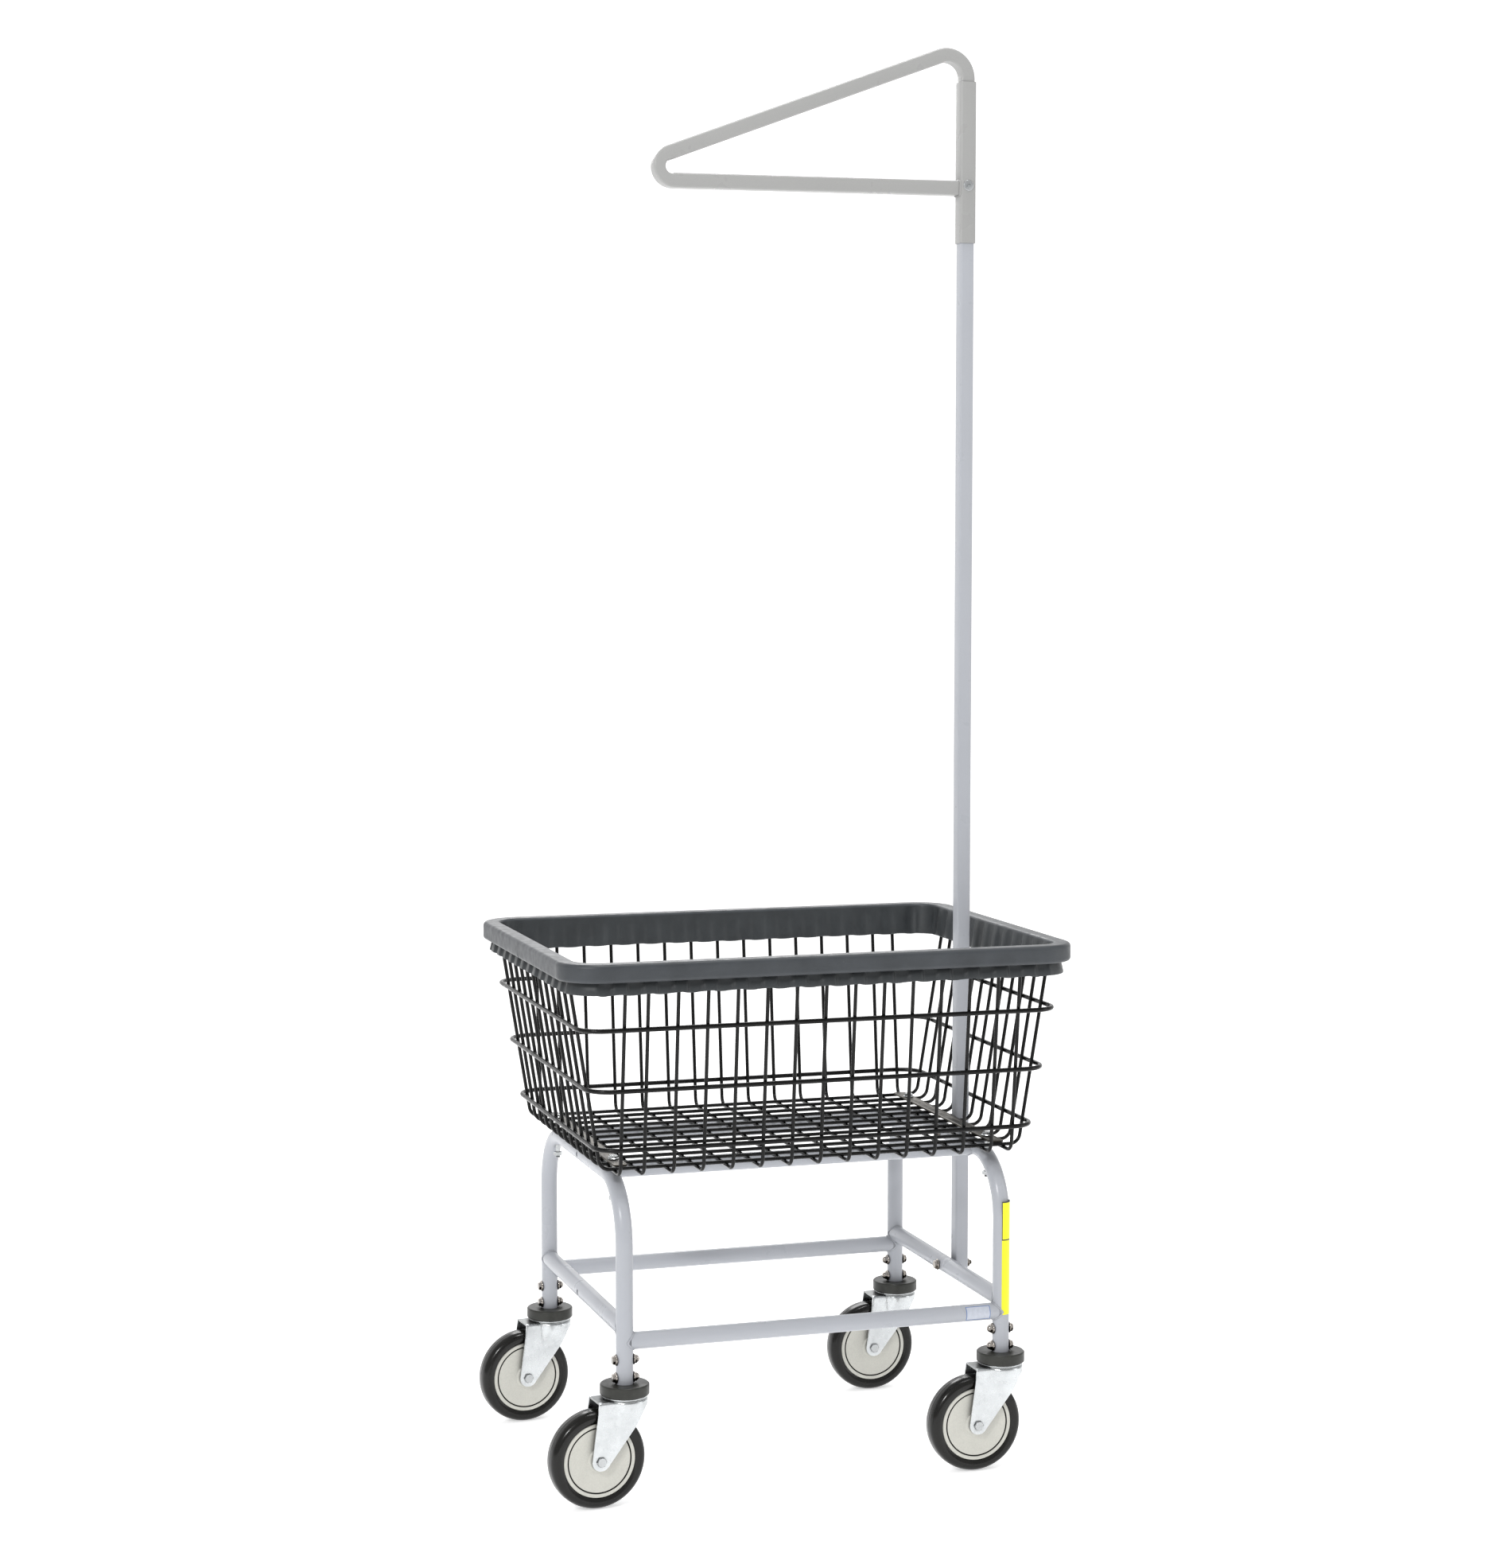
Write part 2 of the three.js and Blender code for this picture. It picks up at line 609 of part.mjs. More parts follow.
// The kingpin is riveted over under the fork's bridge, and the stem goes up inside the leg
function stem() {
  const flangeTop = BUMPER.bottom - GAP;
  const rivetTop = FORK.top - FORK.plate - GAP;
  const rivetFoot = rivetTop - KINGPIN.rivetHeight;
  const profile = [
    [0, rivetFoot], [KINGPIN.rivet, rivetFoot], [KINGPIN.rivet, rivetTop],
    [KINGPIN.radius, rivetTop], [KINGPIN.radius, STEM.flangeZ], [FORK.race, STEM.flangeZ],
    [FORK.race, flangeTop], [STEM.radius, flangeTop], [STEM.radius, STEM.top], [0, STEM.top],
  ];
  const holes = Object.values(LEG_BOLT_HEIGHTS).map((z) => crossHole(0, 0, z));
  return cut(turned(profile, STEM_SIDES), holes);
}

function forkPlate(y) {
  const eyeStart = THREE.MathUtils.degToRad(FORK.eyeStart);
  const outline = new THREE.Shape();
  outline.moveTo(-FORK.rear, FORK.top);
  outline.lineTo(FORK.front, FORK.top);
  outline.lineTo(FORK_WAIST.x, FORK_WAIST.z);
  outline.lineTo(FORK_THROAT.x, FORK_THROAT.z);
  outline.absarc(-TRAIL, WHEEL.axleZ, FORK.eye, eyeStart, -Math.PI, true);
  outline.closePath();
  const settings = { depth: FORK.plate, bevelEnabled: false, curveSegments: ARC_STEPS };
  return new THREE.ExtrudeGeometry(outline, settings).rotateX(Math.PI / 2).translate(0, y, 0);
}

// The fork's round head has a skirt that runs round its front, from one plate to the other
function forkSkirt() {
  const foot = FORK.top - FORK.skirt;
  const drum = rod(FORK.race, RACE_SIDES, new THREE.Vector3(0, 0, foot), new THREE.Vector3(0, 0, FORK.top));
  const roomFoot = new THREE.Vector3(0, 0, foot - FORK.plate);
  const roomTop = new THREE.Vector3(0, 0, FORK.top - FORK.plate);
  const room = rod(FORK.race - FORK.plate, RACE_SIDES, roomFoot, roomTop);
  const size = 2 * FORK.race;
  const back = box(size, size, size, FORK.skirtBack - FORK.race, 0, FORK.top);
  return cut(drum, [room, back]);
}

function fork() {
  const outer = FORK.inside + FORK.plate;
  const length = FORK.front + FORK.rear;
  const bridgeX = FORK.front - length / 2;
  const bridge = box(length, 2 * outer, FORK.plate, bridgeX, 0, FORK.top - FORK.plate / 2);
  const raceTop = FORK.top + FORK.raceHeight;
  const raceFoot = new THREE.Vector3(0, 0, FORK.top - FORK.plate / 2);
  const race = rod(FORK.race, RACE_SIDES, raceFoot, new THREE.Vector3(0, 0, raceTop));
  const whole = join([forkPlate(-FORK.inside), forkPlate(outer), bridge, race, forkSkirt()]);
  const kingpinFoot = new THREE.Vector3(0, 0, FORK.top - 2 * FORK.plate);
  const kingpinRoom = KINGPIN.radius + 2 * GAP;
  const kingpin = rod(kingpinRoom, STEM_SIDES, kingpinFoot, new THREE.Vector3(0, 0, raceTop + FORK.plate));
  const axleRoom = BOLTS.axle.shank + GAP;
  const axleStart = new THREE.Vector3(-TRAIL, -2 * outer, WHEEL.axleZ);
  const axleEnd = new THREE.Vector3(-TRAIL, 2 * outer, WHEEL.axleZ);
  return cut(whole, [kingpin, rod(axleRoom, HOLE_SIDES, axleStart, axleEnd)]);
}

function axleBolt() {
  const outer = FORK.inside + FORK.plate + GAP;
  const start = new THREE.Vector3(-TRAIL, -outer, WHEEL.axleZ);
  return placeAlong(bolt(2 * outer, BOLTS.axle), REARWARD, start);
}

// Wheels are turned about Y from half a profile of [radius, half width]. A flat facet of the tyre
// touches the floor, so each radius is measured to the middle of a facet.
function wheelRing(halfProfile) {
  const facetReach = 1 / Math.cos(Math.PI / WHEEL_SEGMENTS);
  const upper = halfProfile.map(([radius, width]) => [radius * facetReach, width]);
  const lower = [...upper].reverse().map(([radius, width]) => [radius, -width]);
  const profile = [...lower, ...upper, lower[0]];
  const halfStep = Math.PI / WHEEL_SEGMENTS;
  const geometry = turned(profile, WHEEL_SEGMENTS, halfStep);
  return geometry.rotateX(Math.PI / 2).translate(-TRAIL, 0, WHEEL.axleZ);
}

function tyre() {
  const tread = TREAD.map(([inset, halfWidth]) => [WHEEL.radius - inset, halfWidth]);
  return wheelRing([...tread, [WHEEL.rim + GAP, WHEEL.rimHalfWidth + GAP]]);
}

function wheelCore() {
  const bore = BOLTS.axle.shank + GAP;
  const face = WHEEL.rimHalfWidth;
  return wheelRing([[WHEEL.rim, face], [HUB.foot, face], [HUB.radius, HUB.halfWidth], [bore, HUB.halfWidth]]);
}

// Leg bolts have their heads outside the cart and their nuts inside
function legBolt(side, z) {
  const reach = TUBE.radius + GAP;
  const inward = new THREE.Vector3(-side, 0, 0);
  return placeAlong(bolt(2 * reach, BOLTS.leg), inward, new THREE.Vector3(side * reach, 0, z));
}

function addCaster(name, { x, y, yaw }) {
  const fixed = new THREE.Group();
  fixed.position.set(x * LEG.x, y * LEG.y, 0);
  cart.add(fixed);
  const swivel = new THREE.Group();
  swivel.rotation.z = THREE.MathUtils.degToRad(yaw);
  fixed.add(swivel);
  addPart(`bumper_disc_${name}`, bumperDisc(), BUMPER_RUBBER, fixed);
  addPart(`caster_stem_${name}`, stem(), ZINC, fixed);
  addPart(`leg_bolt_lower_${name}`, legBolt(x, LEG_BOLT_HEIGHTS.lower), NICKEL, fixed);
  addPart(`leg_bolt_upper_${name}`, legBolt(x, LEG_BOLT_HEIGHTS.upper), NICKEL, fixed);
  addPart(`fork_${name}`, fork(), ZINC, swivel);
  addPart(`axle_bolt_${name}`, axleBolt(), ZINC, swivel);
  addPart(`tyre_${name}`, tyre(), TYRE_RUBBER, swivel);
  addPart(`wheel_core_${name}`, wheelCore(), CORE_PLASTIC, swivel);
}

addFrame();
addBasket();
addStraps();
addPole();
for (const [name, place] of Object.entries(CASTERS)) {
  addCaster(name, place);
}

// The origin is on the floor under the middle of the whole cart's box
cart.updateMatrixWorld(true);
const extent = new THREE.Box3().setFromObject(cart, true);
const middle = extent.getCenter(new THREE.Vector3());
cart.position.set(-middle.x, -middle.y, -extent.min.z);

export default cart;
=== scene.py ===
import json
import math

import bpy
from mathutils import Matrix, Vector

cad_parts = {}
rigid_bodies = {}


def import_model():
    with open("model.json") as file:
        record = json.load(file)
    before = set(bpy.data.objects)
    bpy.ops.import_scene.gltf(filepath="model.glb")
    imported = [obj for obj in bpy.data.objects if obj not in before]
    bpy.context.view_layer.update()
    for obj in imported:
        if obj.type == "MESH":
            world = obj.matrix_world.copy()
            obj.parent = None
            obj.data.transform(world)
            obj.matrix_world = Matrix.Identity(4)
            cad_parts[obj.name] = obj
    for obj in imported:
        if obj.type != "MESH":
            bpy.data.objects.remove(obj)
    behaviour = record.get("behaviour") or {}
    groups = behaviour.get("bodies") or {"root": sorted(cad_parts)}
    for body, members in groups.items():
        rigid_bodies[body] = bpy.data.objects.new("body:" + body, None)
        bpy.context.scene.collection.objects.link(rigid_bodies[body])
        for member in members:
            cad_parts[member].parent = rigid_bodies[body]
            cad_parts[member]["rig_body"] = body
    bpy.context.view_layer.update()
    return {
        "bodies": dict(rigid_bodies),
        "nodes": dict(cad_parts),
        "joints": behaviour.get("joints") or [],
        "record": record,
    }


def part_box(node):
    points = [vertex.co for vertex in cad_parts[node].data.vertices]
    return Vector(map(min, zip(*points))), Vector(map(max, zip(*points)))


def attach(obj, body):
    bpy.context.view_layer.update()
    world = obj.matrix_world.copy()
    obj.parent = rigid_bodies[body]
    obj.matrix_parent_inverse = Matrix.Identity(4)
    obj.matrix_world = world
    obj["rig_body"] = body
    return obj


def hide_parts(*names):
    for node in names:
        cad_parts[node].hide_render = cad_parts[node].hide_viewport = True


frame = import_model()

MM = 0.001
X, Y, Z = Vector((1, 0, 0)), Vector((0, 1, 0)), Vector((0, 0, 1))
SCENE = bpy.context.scene
SLOT_OF = {part["node"]: part["material_slot"] for part in frame["record"]["subparts"]}
JOINTS = {joint["name"]: joint for joint in frame["joints"]}


def box_mm(node):
    low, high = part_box(node)
    return low / MM, high / MM


# ---- places read from the frame
FRAME_LEFT = box_mm("end_frame_left")
FRAME_RIGHT = box_mm("end_frame_right")
TUBE = (FRAME_LEFT[1].x - FRAME_LEFT[0].x) / 2
TUBE_WALL = 1.6
LEG_X = {-1: (FRAME_LEFT[0].x + FRAME_LEFT[1].x) / 2, 1: (FRAME_RIGHT[0].x + FRAME_RIGHT[1].x) / 2}
CENTRE_X = (LEG_X[-1] + LEG_X[1]) / 2
LEG_Y = FRAME_LEFT[1].y - TUBE
LEG_BOTTOM = FRAME_LEFT[0].z
FRAME_TOP = FRAME_LEFT[1].z - TUBE
FRAME_BEND = 80
SIDES = {"left": -1, "right": 1}

CORNERS = ("front_left", "rear_left", "front_right", "rear_right")


def middle(node):
    low, high = box_mm(node)
    return (low + high) / 2


# ---- camera
CAMERA_PLACE = Vector((-1216.4, -3757.5, 1204.0))
CAMERA_PITCH = 4.396
CAMERA_YAW = 17.488
CAMERA_LENS = 67.59


def add_camera():
    data = bpy.data.cameras.new("camera")
    data.lens = CAMERA_LENS
    data.sensor_width = 36
    data.clip_end = 100
    camera = bpy.data.objects.new("camera", data)
    camera.location = (CAMERA_PLACE + X * CENTRE_X) * MM
    camera.rotation_euler = (math.radians(90 - CAMERA_PITCH), 0, math.radians(-CAMERA_YAW))
    SCENE.collection.objects.link(camera)
    SCENE.camera = camera


add_camera()
SCENE.view_settings.view_transform = "Standard"


# ---- mesh building
class Build:
    """Vertices and faces of one piece, in millimetres. Each face has a material index."""

    def __init__(self):
        self.verts = []
        self.faces = []
        self.marks = []

    def add(self, verts, faces):
        first = len(self.verts)
        self.verts.extend(Vector(v) for v in verts)
        self.faces.extend([first + i for i in face] for face in faces)
        self.marks.extend([0] * len(faces))

    def rings(self, rings, closed=False, caps=True):
        """Skins a row of equal rings of points; a ring of one point is a tip."""
        verts, starts = [], []
        for ring in rings:
            starts.append(len(verts))
            verts.extend(ring)
        faces = []
        pairs = list(zip(range(len(rings) - 1), range(1, len(rings))))
        if closed:
            pairs.append((len(rings) - 1, 0))
        for i, j in pairs:
            a, b = starts[i], starts[j]
            m, n = len(rings[i]), len(rings[j])
            for k in range(max(m, n)):
                k2 = (k + 1) % max(m, n)
                if m == 1:
                    faces.append((a, b + k2, b + k))
                elif n == 1:
                    faces.append((a + k, a + k2, b))
                else:
                    faces.append((a + k, a + k2, b + k2, b + k))
        if caps and not closed:
            if len(rings[0]) > 1:
                faces.append(tuple(reversed(range(len(rings[0])))))
            if len(rings[-1]) > 1:
                faces.append(tuple(starts[-1] + k for k in range(len(rings[-1]))))
        self.add(verts, faces)

    def moved(self, matrix):
        self.verts = [matrix @ v for v in self.verts]
        return self

    def mesh(self, name):
        mesh = bpy.data.meshes.new(name)
        mesh.from_pydata([v * MM for v in self.verts], [], self.faces)
        mesh.polygons.foreach_set("material_index", self.marks)
        return mesh


SMOOTH_ANGLE = math.radians(38)


def finish_mesh(mesh, smooth_angle=SMOOTH_ANGLE):
    mesh.validate()
    mesh.polygons.foreach_set("use_smooth", [True] * len(mesh.polygons))
    mesh.set_sharp_from_angle(angle=smooth_angle)
    mesh.update()


def new_object(name, build, materials, smooth_angle=SMOOTH_ANGLE):
    mesh = build.mesh(name)
    for material in materials:
        mesh.materials.append(material)
    finish_mesh(mesh, smooth_angle)
    obj = bpy.data.objects.new(name, mesh)
    SCENE.collection.objects.link(obj)
    return obj


def apply_modifiers(obj):
    bpy.context.view_layer.update()
    graph = bpy.context.evaluated_depsgraph_get()
    mesh = bpy.data.meshes.new_from_object(obj.evaluated_get(graph))
    obj.modifiers.clear()
    obj.data = mesh
    finish_mesh(mesh)


def soften(obj, width_mm, angle=35, segments=2):
    bevel = obj.modifiers.new("soften", "BEVEL")
    bevel.width = width_mm * MM
    bevel.segments = segments
    bevel.limit_method = "ANGLE"
    bevel.angle_limit = math.radians(angle)
    bevel.harden_normals = False
    apply_modifiers(obj)


def carve(obj, build):
    tool = new_object("tool", build, [])
    boolean = obj.modifiers.new("carve", "BOOLEAN")
    boolean.operation = "DIFFERENCE"
    boolean.solver = "EXACT"
    boolean.object = tool
    apply_modifiers(obj)
    bpy.data.objects.remove(tool)


def place(obj, node, *more_nodes):
    """The piece rides with its node's body and stands for it."""
    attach(obj, frame["nodes"][node]["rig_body"])
    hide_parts(node, *more_nodes)
    return obj


def fine(node, build, looks=None, smooth_angle=SMOOTH_ANGLE):
    """The fine piece of a node. Its look is that of its slot unless others are given."""
    return new_object(f"{node}_fine", build, looks or [MATERIALS[SLOT_OF[node]]], smooth_angle)


def turned(node, profile, segments, matrix, closed=False, looks=None, smooth_angle=SMOOTH_ANGLE):
    build = Build()
    lathe(build, profile, segments, matrix, closed)
    return fine(node, build, looks, smooth_angle)


def circle(radius, count):
    return [(radius * math.cos(a), radius * math.sin(a)) for a in turns(count)]


def turns(count):
    return [2 * math.pi * i / count for i in range(count)]


QUARTERS = ((1, 1), (-1, 1), (-1, -1), (1, -1))


def rounded_box(half_x, half_y, corner, steps=5):
    points = []
    for quarter, (sx, sy) in enumerate(QUARTERS):
        for k in range(steps + 1):
            a = (quarter + k / steps) * math.pi / 2
            x = sx * (half_x - corner) + corner * math.cos(a)
            points.append((x, sy * (half_y - corner) + corner * math.sin(a)))
    return points


def rounded_square(side, corner, steps=5):
    return rounded_box(side / 2, side / 2, corner, steps)


def arc(centre, radius, start, end, steps):
    angles = [math.radians(start + (end - start) * k / steps) for k in range(steps + 1)]
    return [(centre[0] + radius * math.cos(a), centre[1] + radius * math.sin(a)) for a in angles]


def bent(corners, radii, steps):
    """Points and directions along a line whose inner corners are rounded by their radii."""
    corners = [Vector(c) for c in corners]
    ways = [(b - a).normalized() for a, b in zip(corners, corners[1:])]
    stations = [(corners[0], ways[0])]
    for corner, arriving, leaving, radius in zip(corners[1:], ways, ways[1:], radii):
        turn = arriving.angle(leaving)
        inward = (leaving - arriving * math.cos(turn)).normalized()
        start = corner - arriving * radius * math.tan(turn / 2)
        for k in range(steps + 1):
            a = turn * k / steps
            point = start + arriving * radius * math.sin(a) + inward * radius * (1 - math.cos(a))
            stations.append((point, arriving * math.cos(a) + inward * math.sin(a)))
    stations.append((corners[-1], ways[-1]))
    return stations


def sweep(build, stations, normal, section, caps=True, shape=None):
    """Carries a section along stations that lie in one plane. shape(i, u, v) may reshape it."""
    rings = []
    for i, (point, way) in enumerate(stations):
        side = way.cross(normal).normalized()
        ring = []
        for u, v in section:
            if shape:
                u, v = shape(i, u, v)
            ring.append(point + normal * u + side * v)
        rings.append(ring)
    build.rings(rings, caps=caps)


ROD_SIDES = 24


def rod(build, start, end, radius):
    start, end = Vector(start), Vector(end)
    way = (end - start).normalized()
    normal = way.orthogonal().normalized()
    sweep(build, [(start, way), (end, way)], normal, circle(radius, ROD_SIDES))


def lathe(build, profile, segments, matrix=Matrix(), closed=False):
    """Turns [radius, height] points about Z. A point on the axis is a tip."""
    rings = []
    for radius, height in profile:
        if radius < 1e-6:
            rings.append([matrix @ Vector((0, 0, height))])
        else:
            ring = [(radius * math.cos(a), radius * math.sin(a), height) for a in turns(segments)]
            rings.append([matrix @ Vector(p) for p in ring])
    build.rings(rings, closed=closed, caps=False)


def rounded_profile(points, radius, steps=4):
    """A profile whose inner corners are rounded where there is room."""
    points = [Vector((r, h, 0)) for r, h in points]
    out = [points[0]]
    for before, corner, after in zip(points, points[1:], points[2:]):
        room = min((corner - before).length, (after - corner).length) * 0.45
        arriving, leaving = (corner - before).normalized(), (after - corner).normalized()
        turn = arriving.angle(leaving)
        if turn < 0.2:
            out.append(corner)
            continue
        bend = min(radius, room / math.tan(turn / 2))
        reach = bend * math.tan(turn / 2)
        inward = (leaving - arriving * math.cos(turn)).normalized()
        start = corner - arriving * reach
        for k in range(steps + 1):
            a = turn * k / steps
            out.append(start + arriving * bend * math.sin(a) + inward * bend * (1 - math.cos(a)))
    out.append(points[-1])
    return [(p.x, p.y) for p in out]


def level_loop(half_x, half_y, corner, step):
    """Points and outward directions round a level loop, from its right side."""
    stations = []
    for quarter, (sx, sy) in enumerate(QUARTERS):
        steps = max(6, int(corner * math.pi / 2 / step))
        for k in range(steps + 1):
            a = (quarter + k / steps) * math.pi / 2
            outward = Vector((math.cos(a), math.sin(a), 0))
            point = Vector((sx * (half_x - corner), sy * (half_y - corner), 0)) + outward * corner
            stations.append((point, outward))
        sx2, sy2 = QUARTERS[(quarter + 1) % 4]
        end = Vector((sx2 * (half_x - corner), sy2 * (half_y - corner), 0)) + outward * corner
        count = int((end - point).length / step)
        for k in range(1, count):
            stations.append((point.lerp(end, k / count), outward))
    return stations


def pointing(way, place_mm):
    """A matrix that takes +Z to a direction and the origin to a place."""
    return Matrix.Translation(place_mm) @ Vector(way).to_track_quat("Z", "Y").to_matrix().to_4x4()


# ---- materials
class Nodes:
    """Short ways to wire up one procedural material. Lengths are in metres of object space."""

    def __init__(self, name):
        self.material = bpy.data.materials.new(name)
        self.material.use_nodes = True
        self.tree = self.material.node_tree
        self.shader = self.tree.nodes["Principled BSDF"]
        self.coordinates = self.new("ShaderNodeTexCoord").outputs["Object"]

    def new(self, kind, **settings):
        node = self.tree.nodes.new(kind)
        for key, value in settings.items():
            setattr(node, key, value)
        return node

    def link(self, source, target):
        self.tree.links.new(source, target)

    def stretched(self, scale):
        mapping = self.new("ShaderNodeMapping")
        mapping.inputs["Scale"].default_value = scale
        self.link(self.coordinates, mapping.inputs["Vector"])
        return mapping.outputs["Vector"]

    def noise(self, scale, detail, roughness=0.5, vector=None):
        node = self.new("ShaderNodeTexNoise")
        node.inputs["Scale"].default_value = scale
        node.inputs["Detail"].default_value = detail
        node.inputs["Roughness"].default_value = roughness
        self.link(vector or self.coordinates, node.inputs["Vector"])
        return node.outputs["Fac"]

    def ramp(self, source, *stops):
        node = self.new("ShaderNodeValToRGB")
        ramp = node.color_ramp
        ramp.elements[0].position, ramp.elements[0].color = stops[0][0], grey(stops[0][1])
        ramp.elements[1].position, ramp.elements[1].color = stops[-1][0], grey(stops[-1][1])
        for position, colour in stops[1:-1]:
            ramp.elements.new(position).color = grey(colour)
        self.link(source, node.inputs["Fac"])
        return node.outputs["Color"]

    def mix(self, factor, first, second):
        node = self.new("ShaderNodeMix", data_type="RGBA")
        for value, socket in ((factor, 0), (first, 6), (second, 7)):
            self.put(value, node.inputs[socket])
        return node.outputs[2]

    def put(self, value, socket):
        if isinstance(value, bpy.types.NodeSocket):
            self.link(value, socket)
        elif socket.type == "RGBA":
            socket.default_value = grey(value)
        else:
            socket.default_value = value

    def wear(self):
        """High on worn outer edges, from the angle between the true and the rounded normal."""
        bevel = self.new("ShaderNodeBevel", samples=4)
        bevel.inputs["Radius"].default_value = 0.0012
        geometry = self.new("ShaderNodeNewGeometry")
        dot = self.new("ShaderNodeVectorMath", operation="DOT_PRODUCT")
        self.link(bevel.outputs["Normal"], dot.inputs[0])
        self.link(geometry.outputs["Normal"], dot.inputs[1])
        return self.ramp(dot.outputs["Value"], (0.86, 1.0), (0.99, 0.0))

    def crevice_shade(self, reach, depth):
        """High where other surfaces crowd in, for painted shade: contact shadow in crevices, gaps
        and under overhangs.
        """
        crowd = self.new("ShaderNodeAmbientOcclusion", samples=8)
        crowd.inputs["Distance"].default_value = reach
        return self.ramp(crowd.outputs["AO"], (0.25, depth), (0.9, 0.0))

    def underside_shade(self, depth):
        """High on faces that look down, for painted shade and painted dark reflection on the
        undersides.
        """
        parts = self.new("ShaderNodeSeparateXYZ")
        self.link(self.new("ShaderNodeNewGeometry").outputs["Normal"], parts.inputs[0])
        level = self.new("ShaderNodeMapRange")
        level.inputs["From Min"].default_value = -1
        self.link(parts.outputs["Z"], level.inputs["Value"])
        return self.ramp(level.outputs["Result"], (0.3, depth), (0.75, 0.0))

    def bump(self, height, strength, distance, after=None):
        node = self.new("ShaderNodeBump")
        node.inputs["Strength"].default_value = strength
        node.inputs["Distance"].default_value = distance
        self.link(height, node.inputs["Height"])
        if after:
            self.link(after, node.inputs["Normal"])
        return node.outputs["Normal"]

    def finish(self, colour, roughness, normal=None, **constants):
        self.put(colour, self.shader.inputs["Base Color"])
        self.put(roughness, self.shader.inputs["Roughness"])
        if normal:
            self.link(normal, self.shader.inputs["Normal"])
        for name, value in constants.items():
            socket = name.replace("_", " ").title().replace("Ior", "IOR")
            self.shader.inputs[socket].default_value = value
        return self.material


def grey(value):
    if isinstance(value, (int, float)):
        return (value, value, value, 1)
    return (*value[:3], 1)


def scaled(colour, factor):
    return tuple(min(1.0, channel * factor) for channel in colour)


def enamel(name, colour, speckle):
    """Sprayed silver enamel on steel tube: fine flake, faint orange peel, darker rubbed edges,
    painted shade in crevices.
    """
    n = Nodes(name)
    mottle = n.ramp(n.noise(8, 3), (0.35, scaled(colour, 0.98)), (0.65, scaled(colour, 1.02)))
    dark, light = scaled(colour, 1 - speckle), scaled(colour, 1 + speckle)
    flake = n.ramp(n.noise(1500, 2), (0.35, dark), (0.65, light))
    base = n.mix(0.5, mottle, flake)
    rubbed = n.ramp(n.noise(50, 6, 0.7), (0.68, 0.0), (0.85, 0.12))
    base = n.mix(rubbed, base, scaled(colour, 0.88))
    base = n.mix(n.wear(), base, scaled(colour, 0.8))
    # Painted shade: darker where other surfaces crowd in.
    base = n.mix(n.crevice_shade(0.015, 0.5), base, scaled(colour, 0.45))
    rough = n.ramp(n.noise(25, 3), (0.3, 0.26), (0.75, 0.36))
    peel = n.bump(n.noise(420, 2, 0.4), 0.06, 0.0002)
    shine = {"specular_ior_level": 0.3, "coat_weight": 0.08, "coat_roughness": 0.12}
    return n.finish(base, rough, peel, **shine)


def dipped_vinyl():
    """Black vinyl dip on wire: glossy, with slow runs and a few dull rubs."""
    n = Nodes("black_vinyl")
    base = n.ramp(n.noise(60, 4), (0.3, (0.002, 0.002, 0.002)), (0.75, (0.005, 0.005, 0.005)))
    rubs = n.ramp(n.noise(160, 5, 0.7), (0.64, 0.0), (0.76, 0.4))
    base = n.mix(rubs, base, (0.012, 0.0118, 0.0115))
    rough = n.ramp(n.noise(110, 4), (0.35, 0.18), (0.7, 0.36))
    runs = n.bump(n.noise(130, 2, 0.4, n.stretched((1, 1, 0.35))), 0.25, 0.0006)
    fine = n.bump(n.noise(900, 2), 0.08, 0.0002, runs)
    return n.finish(base, rough, fine, ior=1.32)


def rim_plastic(name, slate):
    """Slate extruded plastic: satin, slightly chalky on the crests, with fine drawing lines and
    painted shade in crevices.
    """
    n = Nodes(name)
    base = n.ramp(n.noise(22, 5, 0.6), (0.28, scaled(slate, 0.8)), (0.72, scaled(slate, 1.2)))
    bloom = n.ramp(n.noise(9, 3), (0.45, 0.0), (0.8, 0.4))
    base = n.mix(bloom, base, scaled(slate, 1.5))
    base = n.mix(n.wear(), base, scaled(slate, 2.2))
    scuffs = n.ramp(n.noise(220, 6, 0.75), (0.66, 0.0), (0.74, 0.6))
    base = n.mix(scuffs, base, scaled(slate, 2))
    # Painted shade: darker where other surfaces crowd in, as under the band's overhang.
    base = n.mix(n.crevice_shade(0.03, 0.85), base, scaled(slate, 0.3))
    rough = n.ramp(n.noise(80, 4), (0.3, 0.36), (0.75, 0.54))
    lines = n.bump(n.noise(240, 3, 0.5, n.stretched((0.08, 0.08, 4))), 0.18, 0.0004)
    skin = n.bump(n.noise(1100, 2), 0.12, 0.0002, lines)
    return n.finish(base, rough, skin, ior=1.42, sheen_weight=0.04, sheen_roughness=0.4)


def rubber(name, colour, rough_low, rough_high, gloss_coat):
    """Moulded rubber or tread: fine skin, handling smudges, paler worn edges, painted shade in
    crevices.
    """
    n = Nodes(name)
    base = n.ramp(n.noise(45, 5, 0.6), (0.3, scaled(colour, 0.75)), (0.75, scaled(colour, 1.35)))
    dust = n.ramp(n.noise(130, 6, 0.75), (0.6, 0.0), (0.78, 0.45))
    base = n.mix(dust, base, scaled(colour, 2.2))
    base = n.mix(n.wear(), base, scaled(colour, 1.9))
    # Painted shade: darker where other surfaces crowd in.
    base = n.mix(n.crevice_shade(0.01, 0.8), base, scaled(colour, 0.3))
    rough = n.ramp(n.noise(70, 4), (0.3, rough_low), (0.75, rough_high))
    skin = n.bump(n.noise(700, 3), 0.14, 0.0003)
    waves = n.bump(n.noise(38, 2), 0.08, 0.001, skin)
    return n.finish(base, rough, waves, ior=1.35, coat_weight=gloss_coat, coat_roughness=0.08)


